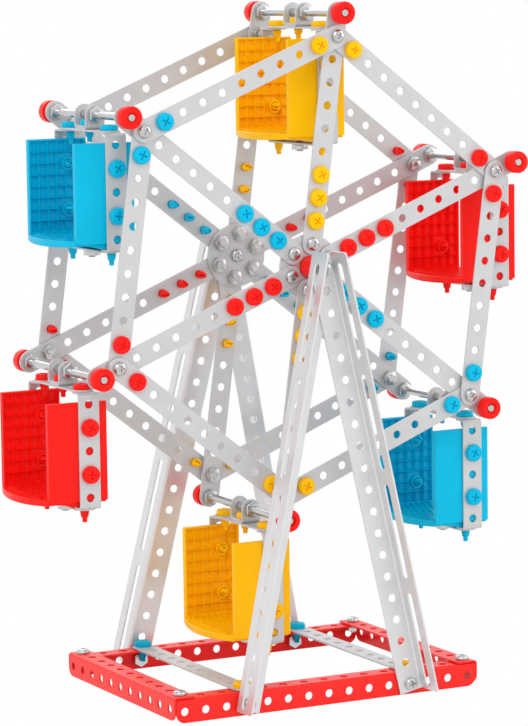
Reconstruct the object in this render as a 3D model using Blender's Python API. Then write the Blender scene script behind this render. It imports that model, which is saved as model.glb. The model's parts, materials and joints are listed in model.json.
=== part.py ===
"""Ferris wheel from a metal construction set.

A girder stand carries two wheel frames of punched strips with six gondolas between them.

Metres, +Z up, +X along the base and +Y from front to back. The wheel turns about Y.
"""

import math

import bmesh
import bpy
from mathutils import Matrix, Vector

MM = 0.001

# Sheet, holes and gaps
PITCH = 12.7 * MM
SHEET = 1.0 * MM
GAP = 0.3 * MM
HOLE_RADIUS = 2.3 * MM
HOLE_SIDES = 4
STRIP_WIDTH = 12.2 * MM
STRIP_HOLES = 11
STRIP_END_SIDES = 3
# How deep a fused head or nut reaches into its sheet, as a share of the sheet
BITE_SHARE = 0.5

# Bolts, nuts and plastic screws
BOLT_RADIUS = 2.0 * MM
BOLT_END = 1.0 * MM
PAN_RADIUS = 3.7 * MM
PAN_HEIGHT = 2.6 * MM
NUT_RADIUS = 4.04 * MM
NUT_HEIGHT = 3.2 * MM
SCREW_RADIUS = 4.9 * MM
SCREW_HEIGHT = 3.2 * MM
SCREW_LENGTH = 9.0 * MM
SCREW_CROWN_SHARE = 0.86
SCREW_TIP_SHARE = 0.7
PAN_CROWN_SHARE = 0.7
HEAD_SIDES = 6
SHANK_SIDES = 4

# Base girders
BASE_LONG_HOLES = 15
BASE_SHORT_HOLES = 11
BASE_BELOW = 6.2 * MM
BASE_ABOVE = 6.9 * MM
BASE_FLANGE = 12.7 * MM
BASE_CORNER = 5.0 * MM
BASE_CORNER_SIDES = 2
CROSS_HOLE = 4

# Legs
LEG_HOLES = 20
LEG_FREE = 7.3 * MM
LEG_FOLD = 7.4 * MM
LEG_FLANGE = 19.0 * MM
LEG_FOOT_MARGIN = 4.4 * MM
LEG_TOP_MARGIN = 8.3 * MM
LEG_TOP_RADIUS = 5.0 * MM
LEG_TOP_SIDES = 3
LEG_TAPER = 6.0 * MM
LEG_SLOT_COUNT = 4
LEG_HOLES_PER_SLOT = 5
# Length of a slot as a share of the distance between slots
LEG_SLOT_SHARE = 0.87
LEG_SLOT_WIDTH = 5.0 * MM
LEG_SLOT_SIDES = 2

# Wheel
ARMS = 6
WHEEL_TURN = math.radians(7.8)
HUB_HOLE = 1
SCREW_HOLES = (2, 3, 4)
FREE_HOLES = (5, 6, 7, 8, 9)
RIM_HOLE = 10
ROD_HOLE = 11
RIM_FREE_HOLES = 3
RIM_SCREW_HOLE = 4
DISC_RADIUS = 18.15 * MM
DISC_SIDES = 12
# The inner face of a hub disc and of a leg at the axle, from the middle of the wheel
DISC_INNER = 43.4 * MM
LEG_INNER = 57.5 * MM
SPOKE_LAYER = 1
RIM_LAYER = 2
# How far the middle of the wheel stands in front of the middle of the base
WHEEL_FORWARD = 7.6 * MM
SPACER_RADIUS = 6.2 * MM
SPACER_SIDES = 12

# Rods
CAP_RADIUS = 6.2 * MM
CAP_LENGTH = 6.35 * MM
# From a spoke's outer face to the cap's inner face
CAP_STANDOFF = 3.15 * MM
ROD_SIDES = 6

# Gondola hangers, with heights from the rod's axis
HANGER_HALF = 33.7 * MM
HANGER_TOP = 8.8 * MM
HANGER_FOLD = 12.7 * MM
# How far the top and bottom strips end inside the straps' outer faces
HANGER_STRIP_INSET = 2.3 * MM
HANGER_HOLES = 5
HANGER_SCREW_HOLES = (1, 3)
HANGER_END_HOLE = 2
BRACKET_SPACING = 14.0 * MM
BRACKET_WIDTH = 11.4 * MM
BRACKET_SIDES = 4

# Gondola seats
# From the hanger's top to the walls' upper edges, and from the seat's floor to the hanger's bottom
SEAT_DROP = 5.2 * MM
SEAT_CLEAR = 4.5 * MM
SEAT_WALL = 3.0 * MM
SEAT_OPEN_END = 10.8 * MM
SEAT_STEP_END = 24.5 * MM
# The rounded step's bulge, how far it reaches under the seat, and how far it hangs below the floor
SEAT_STEP = 6.0 * MM
SEAT_STEP_BACK = 7.5 * MM
SEAT_STEP_DROP = 1.2 * MM
SEAT_STEP_SIDES = 8
# Tapered skirts under the walls, down to the hanger's folded straps
SKIRT = 1.4 * MM
SKIRT_INSET = 0.5 * MM

RIGHT_ANGLE = math.pi / 2
ACROSS = Vector((1, 0, 0))
BACK = Vector((0, 1, 0))
UP = Vector((0, 0, 1))
ARM_NAMES = ("top", "upper_right", "lower_right", "bottom", "lower_left", "upper_left")
EDGE_NAMES = ("top_right", "right", "bottom_right", "bottom_left", "left", "top_left")

# Colours: base colour, roughness and metallic value
FINISHES = {
    "strip_steel": ((0.60, 0.60, 0.61), 0.38, 0.9),
    "leg_steel": ((0.72, 0.72, 0.73), 0.34, 0.9),
    "base_red": ((0.80, 0.03, 0.03), 0.32, 0.0),
    "seat_red": ((0.85, 0.03, 0.02), 0.34, 0.0),
    "seat_yellow": ((1.00, 0.48, 0.00), 0.34, 0.0),
    "seat_blue": ((0.00, 0.42, 0.72), 0.34, 0.0),
    "bolt_steel": ((0.75, 0.75, 0.76), 0.22, 1.0),
}
SEAT_FINISHES = ("seat_yellow", "seat_red", "seat_blue", "seat_yellow", "seat_red", "seat_blue")


def material(name):
    """The named finish as a Principled material."""
    found = bpy.data.materials.get(name)
    if found:
        return found
    color, roughness, metallic = FINISHES[name]
    made = bpy.data.materials.new(name)
    made.use_nodes = True
    shader = made.node_tree.nodes["Principled BSDF"]
    shader.inputs["Base Color"].default_value = (*color, 1)
    shader.inputs["Roughness"].default_value = roughness
    shader.inputs["Metallic"].default_value = metallic
    return made


def circle(radius, sides, x=0, y=0, start=0):
    """Corners of a regular polygon."""
    angles = [start + math.tau * i / sides for i in range(sides)]
    return [(x + radius * math.cos(angle), y + radius * math.sin(angle)) for angle in angles]


def arc(radius, sides, x, y, first, last):
    """Points on an arc, with both its ends."""
    angles = [first + (last - first) * i / sides for i in range(sides + 1)]
    return [(x + radius * math.cos(angle), y + radius * math.sin(angle)) for angle in angles]


def hole(x=0, y=0):
    """A hole with few sides and the area of the round one."""
    turn = math.tau / HOLE_SIDES
    return circle(HOLE_RADIUS * math.sqrt(turn / math.sin(turn)), HOLE_SIDES, x, y)


def strip(first, last, width, sides):
    """Outline of a strip along X with rounded ends."""
    half = width / 2
    return arc(half, sides, last, 0, -RIGHT_ANGLE, RIGHT_ANGLE) + arc(
        half, sides, first, 0, RIGHT_ANGLE, 3 * RIGHT_ANGLE
    )


def slab(outline, holes, low, high):
    """A flat solid between two heights, with holes cut right through it."""
    solid = bmesh.new()
    edges = []
    for loop in (outline, *holes):
        corners = [solid.verts.new((x, y, low)) for x, y in loop]
        edges += [solid.edges.new(pair) for pair in zip(corners, corners[1:] + corners[:1])]
    bmesh.ops.triangle_fill(solid, use_beauty=True, use_dissolve=False, edges=edges)
    raised = bmesh.ops.extrude_face_region(solid, geom=solid.faces[:])
    moved = [part for part in raised["geom"] if isinstance(part, bmesh.types.BMVert)]
    bmesh.ops.translate(solid, verts=moved, vec=(0, 0, high - low))
    bmesh.ops.recalc_face_normals(solid, faces=solid.faces[:])
    return solid


def turned(profile, sides, x=0, y=0, start=0):
    """A solid turned about Z from (radius, height) pairs, lowest first."""
    solid = bmesh.new()
    rings = [
        [solid.verts.new((u, v, height)) for u, v in circle(radius, sides, x, y, start)]
        for radius, height in profile
    ]
    for lower, upper in zip(rings, rings[1:]):
        for i in range(sides):
            j = (i + 1) % sides
            solid.faces.new((lower[i], lower[j], upper[j], upper[i]))
    solid.faces.new(rings[0][::-1])
    solid.faces.new(rings[-1])
    return solid


def stood(solid):
    """Turns a slab drawn in X and Y to stand in X and Z, facing the front."""
    solid.transform(Matrix.Rotation(RIGHT_ANGLE, 4, "X"))
    return solid


def laid(solid, at):
    """Turns a solid drawn in X and Y so that its Z runs along Y and its Y along -Z, and moves it."""
    solid.transform(Matrix.Translation(at) @ Matrix.Rotation(-RIGHT_ANGLE, 4, "X"))
    return solid


def edgewise(solid):
    """Turns a slab drawn in X and Y to lie in Y and Z, thick along X."""
    solid.transform(Matrix(((0, 0, 1, 0), (1, 0, 0, 0), (0, 1, 0, 0), (0, 0, 0, 1))))
    return solid


def placed(solid, matrix):
    """The solid moved by a matrix."""
    solid.transform(matrix)
    return solid


def axes(along, outward, at=Vector((0, 0, 0))):
    """Places a piece whose X runs along one direction and whose Z faces another."""
    turn = Matrix((along, outward.cross(along), outward)).transposed()
    return Matrix.Translation(at) @ turn.to_4x4()


def pan_head(x, y, seat):
    """Pan head of a bolt on a face that looks along +Z."""
    profile = ((PAN_RADIUS, seat - SHEET * BITE_SHARE), (PAN_RADIUS * PAN_CROWN_SHARE, seat + PAN_HEIGHT))
    return turned(profile, HEAD_SIDES, x, y)


def screw_head(x, y, seat):
    """Large head of a plastic screw on a face that looks along +Z."""
    profile = (
        (SCREW_RADIUS, seat - SHEET * BITE_SHARE),
        (SCREW_RADIUS * SCREW_CROWN_SHARE, seat + SCREW_HEIGHT),
    )
    return turned(profile, HEAD_SIDES, x, y)


def nut_below(x, y, seat):
    """Nut on a face that looks along -Z."""
    profile = ((NUT_RADIUS, seat - NUT_HEIGHT), (NUT_RADIUS, seat + SHEET * BITE_SHARE))
    return turned(profile, HEAD_SIDES, x, y)


def screw_shank(x, y, seat, start=RIGHT_ANGLE / 2):
    """Tapered shank of a plastic screw whose head sits on a face that looks along +Z."""
    profile = (
        (BOLT_RADIUS * SCREW_TIP_SHARE, seat - SCREW_LENGTH),
        (BOLT_RADIUS, seat - SHEET * BITE_SHARE),
    )
    return turned(profile, SHANK_SIDES, x, y, start)


def mesh_of(name, solid):
    """Turns a bmesh into a mesh."""
    mesh = bpy.data.meshes.new(name)
    solid.to_mesh(mesh)
    solid.free()
    return mesh


def combined(name, operation, solid, *others):
    """One mesh from a solid and others that are added to it or cut from it."""
    body = bpy.data.objects.new(name, mesh_of(name, solid))
    tools = bpy.data.collections.new(name)
    bpy.context.scene.collection.objects.link(body)
    bpy.context.scene.collection.children.link(tools)
    for other in others:
        tools.objects.link(bpy.data.objects.new(name, mesh_of(name, other)))
    boolean = body.modifiers.new("join", "BOOLEAN")
    boolean.operation = operation
    boolean.operand_type = "COLLECTION"
    boolean.collection = tools
    graph = bpy.context.evaluated_depsgraph_get()
    made = bpy.data.meshes.new_from_object(body.evaluated_get(graph))
    for used in (body, *tools.objects):
        old = used.data
        bpy.data.objects.remove(used)
        bpy.data.meshes.remove(old)
    bpy.data.collections.remove(tools)
    made.name = name
    return made


def joined(name, *solids):
    """One closed mesh from solids that run into each other."""
    return combined(name, "UNION", *solids)


def reopened(mesh):
    """A bmesh of a finished mesh, which is used up."""
    solid = bmesh.new()
    solid.from_mesh(mesh)
    bpy.data.meshes.remove(mesh)
    return solid


def node(name, mesh, finish, parent, matrix):
    """Adds one sub-part to the scene. Copies share their mesh, so the finish is the object's own."""
    made = bpy.data.objects.new(name, mesh)
    if not mesh.materials:
        mesh.materials.append(None)
    made.material_slots[0].link = "OBJECT"
    made.material_slots[0].material = material(finish)
    bpy.context.scene.collection.objects.link(made)
    made.parent = parent
    made.matrix_local = matrix
    return made


def empty(name, parent, matrix):
    """Adds a frame for pieces to hang on."""
    made = bpy.data.objects.new(name, None)
    bpy.context.scene.collection.objects.link(made)
    made.parent = parent
    made.matrix_local = matrix
    return made


# Places in the stand

def base_height():
    return BASE_BELOW + BASE_ABOVE


def base_half(holes):
    """Half the length of a base side from outer face to outer face."""
    return holes * PITCH / 2


def foot_hole_x():
    return CROSS_HOLE * PITCH


def leg_slant():
    """How far a leg's inner face moves inwards from the base to the axle, in front and behind."""
    face = base_half(BASE_SHORT_HOLES) + GAP
    return face - LEG_INNER - WHEEL_FORWARD, face - LEG_INNER + WHEEL_FORWARD


def hub_height():
    """Height of the wheel's axis, from legs whose length is a whole number of holes."""
    slant = sum(leg_slant()) / 2
    return BASE_BELOW + math.sqrt(((LEG_HOLES - 1) * PITCH) ** 2 - foot_hole_x() ** 2 - slant**2)


def layer(count):
    """Inner face of the sheet that lies this many sheets outside a hub disc."""
    return DISC_INNER + count * (SHEET + GAP)


# Stand

def girder_web(length):
    """Outline of a base girder's upright web, with its lower corners rounded."""
    half = length / 2
    inner = half - BASE_CORNER
    return [
        *arc(BASE_CORNER, BASE_CORNER_SIDES, -inner, BASE_CORNER, math.pi, 3 * RIGHT_ANGLE),
        *arc(BASE_CORNER, BASE_CORNER_SIDES, inner, BASE_CORNER, -RIGHT_ANGLE, 0),
        (half, base_height()),
        (-half, base_height()),
    ]


def girder(name, holes, length, flange_holes, *fasteners):
    """Base girder along X whose outer face is at Z = 0 and whose flange is folded inwards at the top."""
    places = [(i - (holes - 1) / 2) * PITCH for i in range(holes)]
    web = slab(girder_web(length), [hole(x, BASE_BELOW) for x in places], -SHEET, 0)
    half = length / 2
    outline = [(-half, 0), (half, 0), (half, BASE_FLANGE), (-half, BASE_FLANGE)]
    cuts = [hole(x * PITCH, PITCH / 2) for x in flange_holes]
    flange = laid(slab(outline, cuts, -SHEET, 0), Vector((0, base_height(), 0)))
    return joined(name, web, flange, *fasteners)


def build_base(root):
    """Four girders in a rectangle, and the two strips that cross it."""
    long_half, short_half = base_half(BASE_LONG_HOLES), base_half(BASE_SHORT_HOLES)
    step = SHEET + GAP
    corner = (BASE_LONG_HOLES - 1) / 2
    long_flange = (-corner, -CROSS_HOLE, CROSS_HOLE, corner)
    front = girder("base_long", BASE_LONG_HOLES, 2 * (long_half - step), long_flange)
    for name, side in (("base_girder_front", -1), ("base_girder_back", 1)):
        place = Matrix.Translation((0, side * short_half, 0)) @ base_turn(side * BACK)
        node(name, front, "base_red", root, place)

    bolts = [corner_bolt(end * (BASE_SHORT_HOLES - 1) / 2 * PITCH) for end in (-1, 1)]
    side_mesh = girder("base_short", BASE_SHORT_HOLES, 2 * short_half, (), *bolts)
    for name, side in (("base_girder_left", -1), ("base_girder_right", 1)):
        place = Matrix.Translation((side * long_half, 0, step)) @ base_turn(side * ACROSS)
        node(name, side_mesh, "base_red", root, place)

    middle = (STRIP_HOLES - 1) / 2
    cuts = [hole((i - middle) * PITCH) for i in range(1, STRIP_HOLES - 1)]
    ends = [end * middle * PITCH for end in (-1, 1)]
    cross = joined(
        "cross_strip",
        slab(strip(*ends, STRIP_WIDTH, STRIP_END_SIDES), cuts, 0, SHEET),
        *[screw_head(x, 0, SHEET) for x in ends],
        *[screw_shank(x, 0, SHEET) for x in ends],
    )
    for name, side in (("base_cross_strip_left", -1), ("base_cross_strip_right", 1)):
        at = Vector((side * foot_hole_x(), 0, base_height() + GAP))
        node(name, cross, "strip_steel", root, axes(BACK, UP, at))


def base_turn(outward):
    """Turns a girder so that its outer face looks outward."""
    return axes(UP.cross(outward), outward)


def corner_bolt(x):
    """Bolt that holds a short girder's flange down on a long one's, in the short girder's frame."""
    top = 0
    under = top - SHEET - GAP - SHEET - GAP
    bolt = turned(
        (
            (BOLT_RADIUS, under - NUT_HEIGHT - BOLT_END),
            (BOLT_RADIUS, under - NUT_HEIGHT),
            (NUT_RADIUS, under - NUT_HEIGHT),
            (NUT_RADIUS, under),
            (BOLT_RADIUS, under),
            (BOLT_RADIUS, top),
            (PAN_RADIUS, top),
            (PAN_RADIUS * PAN_CROWN_SHARE, top + PAN_HEIGHT),
        ),
        HEAD_SIDES,
    )
    return laid(bolt, Vector((x, base_height(), -PITCH / 2)))


def leg_web(length, side):
    """Outline of a leg's web: square at the foot, rounded at the axle on its free side."""
    top = arc(LEG_TOP_RADIUS, LEG_TOP_SIDES, 0, length, RIGHT_ANGLE, math.pi)
    outline = [
        (-LEG_FREE, -LEG_FOOT_MARGIN),
        (LEG_FOLD, -LEG_FOOT_MARGIN),
        (LEG_FOLD, length + LEG_TOP_RADIUS),
        *top,
        (-LEG_FREE, length - LEG_TAPER),
    ]
    return [(side * x, y) for x, y in outline]


def leg_flange(length, side):
    """A leg's outward flange, with its long slots."""
    ends = -LEG_FOOT_MARGIN, length + LEG_TOP_MARGIN
    outline = [(ends[0], 0), (ends[1], 0), (ends[1], LEG_FLANGE), (ends[0], LEG_FLANGE)]
    spacing = LEG_HOLES_PER_SLOT * length / (LEG_HOLES - 1)
    reach = (LEG_SLOT_SHARE * spacing - LEG_SLOT_WIDTH) / 2
    slots = []
    for i in range(LEG_SLOT_COUNT):
        middle = length / 2 + (i - (LEG_SLOT_COUNT - 1) / 2) * spacing
        slot = strip(middle - reach, middle + reach, LEG_SLOT_WIDTH, LEG_SLOT_SIDES)
        slots.append([(x, y + LEG_FLANGE / 2) for x, y in slot])
    low, high = sorted((side * LEG_FOLD, side * (LEG_FOLD - SHEET)))
    return edgewise(slab(outline, slots, low, high))


def foot_bolt(front):
    """Level bolt that holds a leg's foot to the base, along -Z of a frame at the hole on the leg's inner face."""
    inside = front - SHEET - GAP
    profile = (
        (NUT_RADIUS, inside - NUT_HEIGHT),
        (NUT_RADIUS, inside),
        (BOLT_RADIUS, inside),
        (BOLT_RADIUS, SHEET * BITE_SHARE),
        (PAN_RADIUS, SHEET * BITE_SHARE),
        (PAN_RADIUS, SHEET + PAN_HEIGHT * BITE_SHARE),
        (PAN_RADIUS * PAN_CROWN_SHARE, SHEET + PAN_HEIGHT),
    )
    return turned(profile, HEAD_SIDES)


def build_leg(root, name, end, side, over, slant):
    """One leg from its foot on the base to the axle. A leg that lies over the other is one sheet further out."""
    rise = hub_height() - BASE_BELOW
    lean = math.atan2(slant, rise)
    clear = GAP + BASE_ABOVE * math.tan(lean)
    face = base_half(BASE_SHORT_HOLES)
    foot = Vector((side * foot_hole_x(), end * (face + clear), BASE_BELOW))
    axle = Vector((0, end * (LEG_INNER + over * (SHEET + GAP)) - WHEEL_FORWARD, hub_height()))
    along = (axle - foot).normalized()
    sideways = (along.cross(end * BACK)).normalized()
    outward = sideways.cross(along)
    place = Matrix.Translation(foot) @ Matrix((sideways, along, outward)).transposed().to_4x4()
    length = (axle - foot).length
    hand = 1 if sideways.x * side > 0 else -1
    cuts = [hole(0, i * length / (LEG_HOLES - 1)) for i in range(1, LEG_HOLES)]
    level = Matrix.Translation(foot) @ base_turn(end * BACK)
    mesh = joined(
        name,
        slab(leg_web(length, hand), cuts, 0, SHEET),
        leg_flange(length, hand),
        placed(foot_bolt(-clear), place.inverted() @ level),
    )
    node(name, mesh, "leg_steel", root, place)


def build_axle(root, end, name, slant):
    """Short axle bolt of one side with its nut, and the spacer between hub disc and legs."""
    lean = math.atan2(slant, hub_height() - BASE_BELOW)
    tilt = NUT_RADIUS * math.tan(lean)
    head = DISC_INNER - GAP
    nut = LEG_INNER + 2 * SHEET + 2 * GAP + tilt
    bolt = turned(
        (
            (PAN_RADIUS * PAN_CROWN_SHARE, head - PAN_HEIGHT),
            (PAN_RADIUS, head - PAN_HEIGHT * BITE_SHARE),
            (PAN_RADIUS, head),
            (BOLT_RADIUS, head),
            (BOLT_RADIUS, nut),
            (NUT_RADIUS, nut),
            (NUT_RADIUS, nut + NUT_HEIGHT),
            (BOLT_RADIUS, nut + NUT_HEIGHT),
            (BOLT_RADIUS, nut + NUT_HEIGHT + BOLT_END),
        ),
        HEAD_SIDES,
    )
    place = axes(ACROSS, end * BACK, Vector((0, -WHEEL_FORWARD, hub_height())))
    node("axle_bolt_" + name, mesh_of("axle_bolt_" + name, bolt), "bolt_steel", root, place)
    last = LEG_INNER - GAP - SPACER_RADIUS * math.tan(lean)
    spacer = slab(circle(SPACER_RADIUS, SPACER_SIDES), [hole()], layer(SPOKE_LAYER), last)
    node("axle_spacer_" + name, mesh_of("axle_spacer_" + name, spacer), "seat_red", root, place)


def build_stand(root):
    """Base, legs and axle bolts."""
    build_base(root)
    for end, name, slant in zip((-1, 1), ("front", "back"), leg_slant()):
        for side, label in ((-1, "left"), (1, "right")):
            over = side != end
            build_leg(root, f"leg_{name}_{label}", end, side, over, slant)
        build_axle(root, end, name, slant)


# Wheel

def spoke_mesh():
    """Spoke along X from the hub, outer face up, with its screws' heads and the rim bolt's nut."""
    cuts = [hole(i * PITCH) for i in (*FREE_HOLES, ROD_HOLE)]
    outline = strip(HUB_HOLE * PITCH, ROD_HOLE * PITCH, STRIP_WIDTH, STRIP_END_SIDES)
    return joined(
        "spoke",
        slab(outline, cuts, 0, SHEET),
        pan_head(HUB_HOLE * PITCH, 0, SHEET),
        nut_below(RIM_HOLE * PITCH, 0, 0),
        *[screw_head(i * PITCH, 0, SHEET) for i in SCREW_HOLES],
    )


def rim_mesh(outermost):
    """Rim strip along X, outer face up. The outermost ones carry the bolt heads of the rim's corners."""
    middle = (STRIP_HOLES - 1) / 2
    outline = strip(-middle * PITCH, middle * PITCH, STRIP_WIDTH, STRIP_END_SIDES)
    cuts = [hole(i * PITCH) for i in range(-RIM_FREE_HOLES, RIM_FREE_HOLES + 1)]
    heads = [screw_head(end * RIM_SCREW_HOLE * PITCH, 0, SHEET) for end in (-1, 1)]
    if outermost:
        heads += [pan_head(end * middle * PITCH, 0, SHEET) for end in (-1, 1)]
    return joined("rim_strip", slab(outline, cuts, 0, SHEET), *heads)


def disc_mesh():
    """Hub disc, outer face up, with the six nuts of the hub bolts on its inner face."""
    nuts = [nut_below(*place, 0) for place in circle(HUB_HOLE * PITCH, ARMS)]
    return joined("hub_disc", slab(circle(DISC_RADIUS, DISC_SIDES), [hole()], 0, SHEET), *nuts)


def radial(angle):
    """Direction from the hub at an angle clockwise from the top, seen from the front."""
    return Vector((math.sin(angle), 0, math.cos(angle)))


def build_wheel(wheel):
    """Two frames of spokes and rim strips round their hub discs."""
    spoke, disc = spoke_mesh(), disc_mesh()
    rims = rim_mesh(False), rim_mesh(True)
    rim_distance = RIM_HOLE * PITCH * math.cos(math.pi / ARMS)
    for end, name in ((-1, "front"), (1, "back")):
        outward = end * BACK
        place = axes(UP, outward, outward * DISC_INNER)
        node(f"hub_disc_{name}", disc, "strip_steel", wheel, place)
        for i in range(ARMS):
            angle = math.tau * i / ARMS
            place = axes(radial(angle), outward, outward * layer(SPOKE_LAYER))
            node(f"spoke_{name}_{ARM_NAMES[i]}", spoke, "strip_steel", wheel, place)
            middle = angle + math.pi / ARMS
            outermost = i % 2
            at = outward * layer(RIM_LAYER + outermost) + radial(middle) * rim_distance
            place = axes(radial(middle + RIGHT_ANGLE), outward, at)
            node(f"rim_{name}_{EDGE_NAMES[i]}", rims[outermost], "strip_steel", wheel, place)


# Gondolas

def cap_outer():
    """Outer face of a rod's cap, from the middle of the wheel."""
    return layer(SPOKE_LAYER) + SHEET + CAP_STANDOFF + CAP_LENGTH


def rod_mesh():
    """Threaded rod along Z from front to back, with its end caps and two nuts."""
    outer = cap_outer()
    nuts = sorted(
        (
            layer(SPOKE_LAYER) - GAP - NUT_HEIGHT,
            -BRACKET_SPACING / 2 - SHEET / 2 - GAP - NUT_HEIGHT,
        )
    )
    profile = [
        (CAP_RADIUS, -outer),
        (CAP_RADIUS, -outer + CAP_LENGTH),
        (BOLT_RADIUS, -outer + CAP_LENGTH),
    ]
    for low in nuts:
        profile += [
            (BOLT_RADIUS, low),
            (NUT_RADIUS, low),
            (NUT_RADIUS, low + NUT_HEIGHT),
            (BOLT_RADIUS, low + NUT_HEIGHT),
        ]
    profile += [
        (BOLT_RADIUS, outer - CAP_LENGTH),
        (CAP_RADIUS, outer - CAP_LENGTH),
        (CAP_RADIUS, outer),
    ]
    return mesh_of("rod", turned(profile, ROD_SIDES, start=RIGHT_ANGLE))


def mirrored(points):
    """A loop that is the same on both sides of its second axis, from its half on the positive side."""
    return points + [(-y, z) for y, z in points[::-1]]


def hanger_height():
    """Height of the side straps, which hold a whole number of holes."""
    return HANGER_HOLES * PITCH


def strip_half():
    """Half the length of a hanger's top or bottom strip."""
    return HANGER_HALF - HANGER_STRIP_INSET


def seat_half():
    """Half the width of a seat, which fits between the side straps."""
    return HANGER_HALF - SHEET - GAP


def seat_top():
    """How far below the rod's axis the seat's walls end."""
    return HANGER_TOP + SEAT_DROP


def seat_bottom():
    """How far below the rod's axis the seat's underside lies."""
    return HANGER_TOP + hanger_height() - SEAT_CLEAR


def screw_height(number):
    """Height of a hole in a hanger's side strap."""
    return -HANGER_TOP - PITCH / 2 - number * PITCH


def hanger_ring():
    """Side straps with folded ends, top strip and bottom strip, as one loop in Y and Z."""
    top, bottom = -HANGER_TOP, -HANGER_TOP - hanger_height()
    fold = HANGER_HALF - HANGER_FOLD
    inner = HANGER_HALF - SHEET
    outer = mirrored(
        [
            (strip_half(), bottom - SHEET),
            (strip_half(), bottom),
            (HANGER_HALF, bottom),
            (HANGER_HALF, top),
            (strip_half(), top),
            (strip_half(), top + SHEET),
        ]
    )
    inside = mirrored(
        [
            (fold, bottom),
            (fold, bottom + SHEET),
            (inner, bottom + SHEET),
            (inner, top - SHEET),
            (fold, top - SHEET),
            (fold, top),
        ]
    )
    return edgewise(slab(outer, [inside], -STRIP_WIDTH / 2, STRIP_WIDTH / 2))


def hanger_brackets():
    """Two angle brackets whose feet lie on each other and whose uprights carry the rod."""
    half = BRACKET_WIDTH / 2
    low = -HANGER_TOP + SHEET * BITE_SHARE
    reach = (BRACKET_SPACING + SHEET) / 2
    lap = SCREW_RADIUS
    feet = [
        (-reach, low),
        (reach, low),
        (reach, -HANGER_TOP + 3 * SHEET),
        (-lap, -HANGER_TOP + 3 * SHEET),
        (-lap, -HANGER_TOP + 2 * SHEET),
        (-reach, -HANGER_TOP + 2 * SHEET),
    ]
    upright = [
        (-half, -HANGER_TOP + SHEET + SHEET * BITE_SHARE),
        (half, -HANGER_TOP + SHEET + SHEET * BITE_SHARE),
        *arc(half, BRACKET_SIDES, 0, 0, 0, math.pi),
    ]
    return [
        edgewise(slab(feet, [], -half, half)),
        stood(slab(upright, [hole()], reach - SHEET, reach)),
        stood(slab(upright, [hole()], -reach, SHEET - reach)),
    ]


def floor_bolt():
    """Bolt from the seat's floor to the bottom strip, with its nut."""
    head = SEAT_WALL - seat_bottom() + GAP
    under = -HANGER_TOP - hanger_height() - SHEET
    profile = (
        (BOLT_RADIUS, under - NUT_HEIGHT - BOLT_END),
        (BOLT_RADIUS, under - NUT_HEIGHT),
        (NUT_RADIUS, under - NUT_HEIGHT),
        (NUT_RADIUS, under + SHEET * BITE_SHARE),
        (BOLT_RADIUS, under + SHEET * BITE_SHARE),
        (BOLT_RADIUS, head),
        (PAN_RADIUS, head),
        (PAN_RADIUS * PAN_CROWN_SHARE, head + PAN_HEIGHT),
    )
    return turned(profile, HEAD_SIDES)


def hanger_mesh():
    """Metal frame of a gondola, hung from the rod's axis at the origin."""
    free = [i for i in range(HANGER_HOLES) if i not in HANGER_SCREW_HOLES]
    cutters = [
        stood(slab(hole(0, screw_height(i)), [], low, low + 3 * SHEET))
        for i in free
        for low in (HANGER_HALF - 2 * SHEET, -HANGER_HALF - SHEET)
    ]
    ring = reopened(combined("hanger_ring", "DIFFERENCE", hanger_ring(), *cutters))
    fasteners = []
    for end in (-1, 1):
        turn = axes(ACROSS, end * BACK)
        for number in HANGER_SCREW_HOLES:
            place = 0, -end * screw_height(number), HANGER_HALF
            fasteners.append(placed(screw_head(*place), turn))
        along = end * HANGER_END_HOLE * PITCH
        fasteners.append(screw_head(0, along, -HANGER_TOP + SHEET))
        fasteners.append(screw_shank(0, along, -HANGER_TOP - hanger_height() + SHEET))
    fasteners.append(screw_head(0, 0, -HANGER_TOP + 3 * SHEET))
    return joined("hanger", ring, *hanger_brackets(), floor_bolt(), *fasteners)


def step_outline():
    """Outline of the seat's step, a circular bulge on the chord between the walls."""
    radius = (seat_half() ** 2 + SEAT_STEP**2) / (2 * SEAT_STEP)
    reach = math.asin(seat_half() / radius)
    middle = radius - SEAT_STEP_END - SEAT_STEP
    bulge = arc(radius, SEAT_STEP_SIDES, middle, 0, math.pi - reach, math.pi + reach)
    return [(-SEAT_STEP_BACK, -seat_half()), (-SEAT_STEP_BACK, seat_half()), *bulge]


def seat_mesh():
    """Plastic seat: a floor with a rounded step on one side, between two walls with skirts."""
    low, high = -seat_bottom(), -seat_bottom() + SEAT_WALL
    outline = [
        (-SEAT_STEP_END, -seat_half()),
        (SEAT_OPEN_END, -seat_half()),
        (SEAT_OPEN_END, seat_half()),
        (-SEAT_STEP_END, seat_half()),
    ]
    floor = slab(outline, [hole()], low, high)
    step = slab(step_outline(), [], low - SEAT_STEP_DROP, high)
    side = [
        (-SEAT_STEP_END, low),
        (SEAT_OPEN_END, low),
        (SEAT_OPEN_END, -seat_top()),
        (-SEAT_STEP_END, -seat_top()),
    ]
    foot = -HANGER_TOP - hanger_height() + SHEET + GAP
    skirt = [
        (-SEAT_STEP_END, low),
        (-STRIP_WIDTH / 2, foot),
        (STRIP_WIDTH / 2, foot),
        (SEAT_OPEN_END, low),
        (SEAT_OPEN_END, low + SHEET),
        (-SEAT_STEP_END, low + SHEET),
    ]
    inner, outer = seat_half() - SKIRT_INSET - SKIRT, seat_half() - SKIRT_INSET
    sides = [
        *[stood(slab(side, [], y, y + SEAT_WALL)) for y in (-seat_half(), seat_half() - SEAT_WALL)],
        *[stood(slab(skirt, [], y, y + SKIRT)) for y in (-outer, inner)],
    ]
    return joined("seat", floor, step, *sides)


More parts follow.
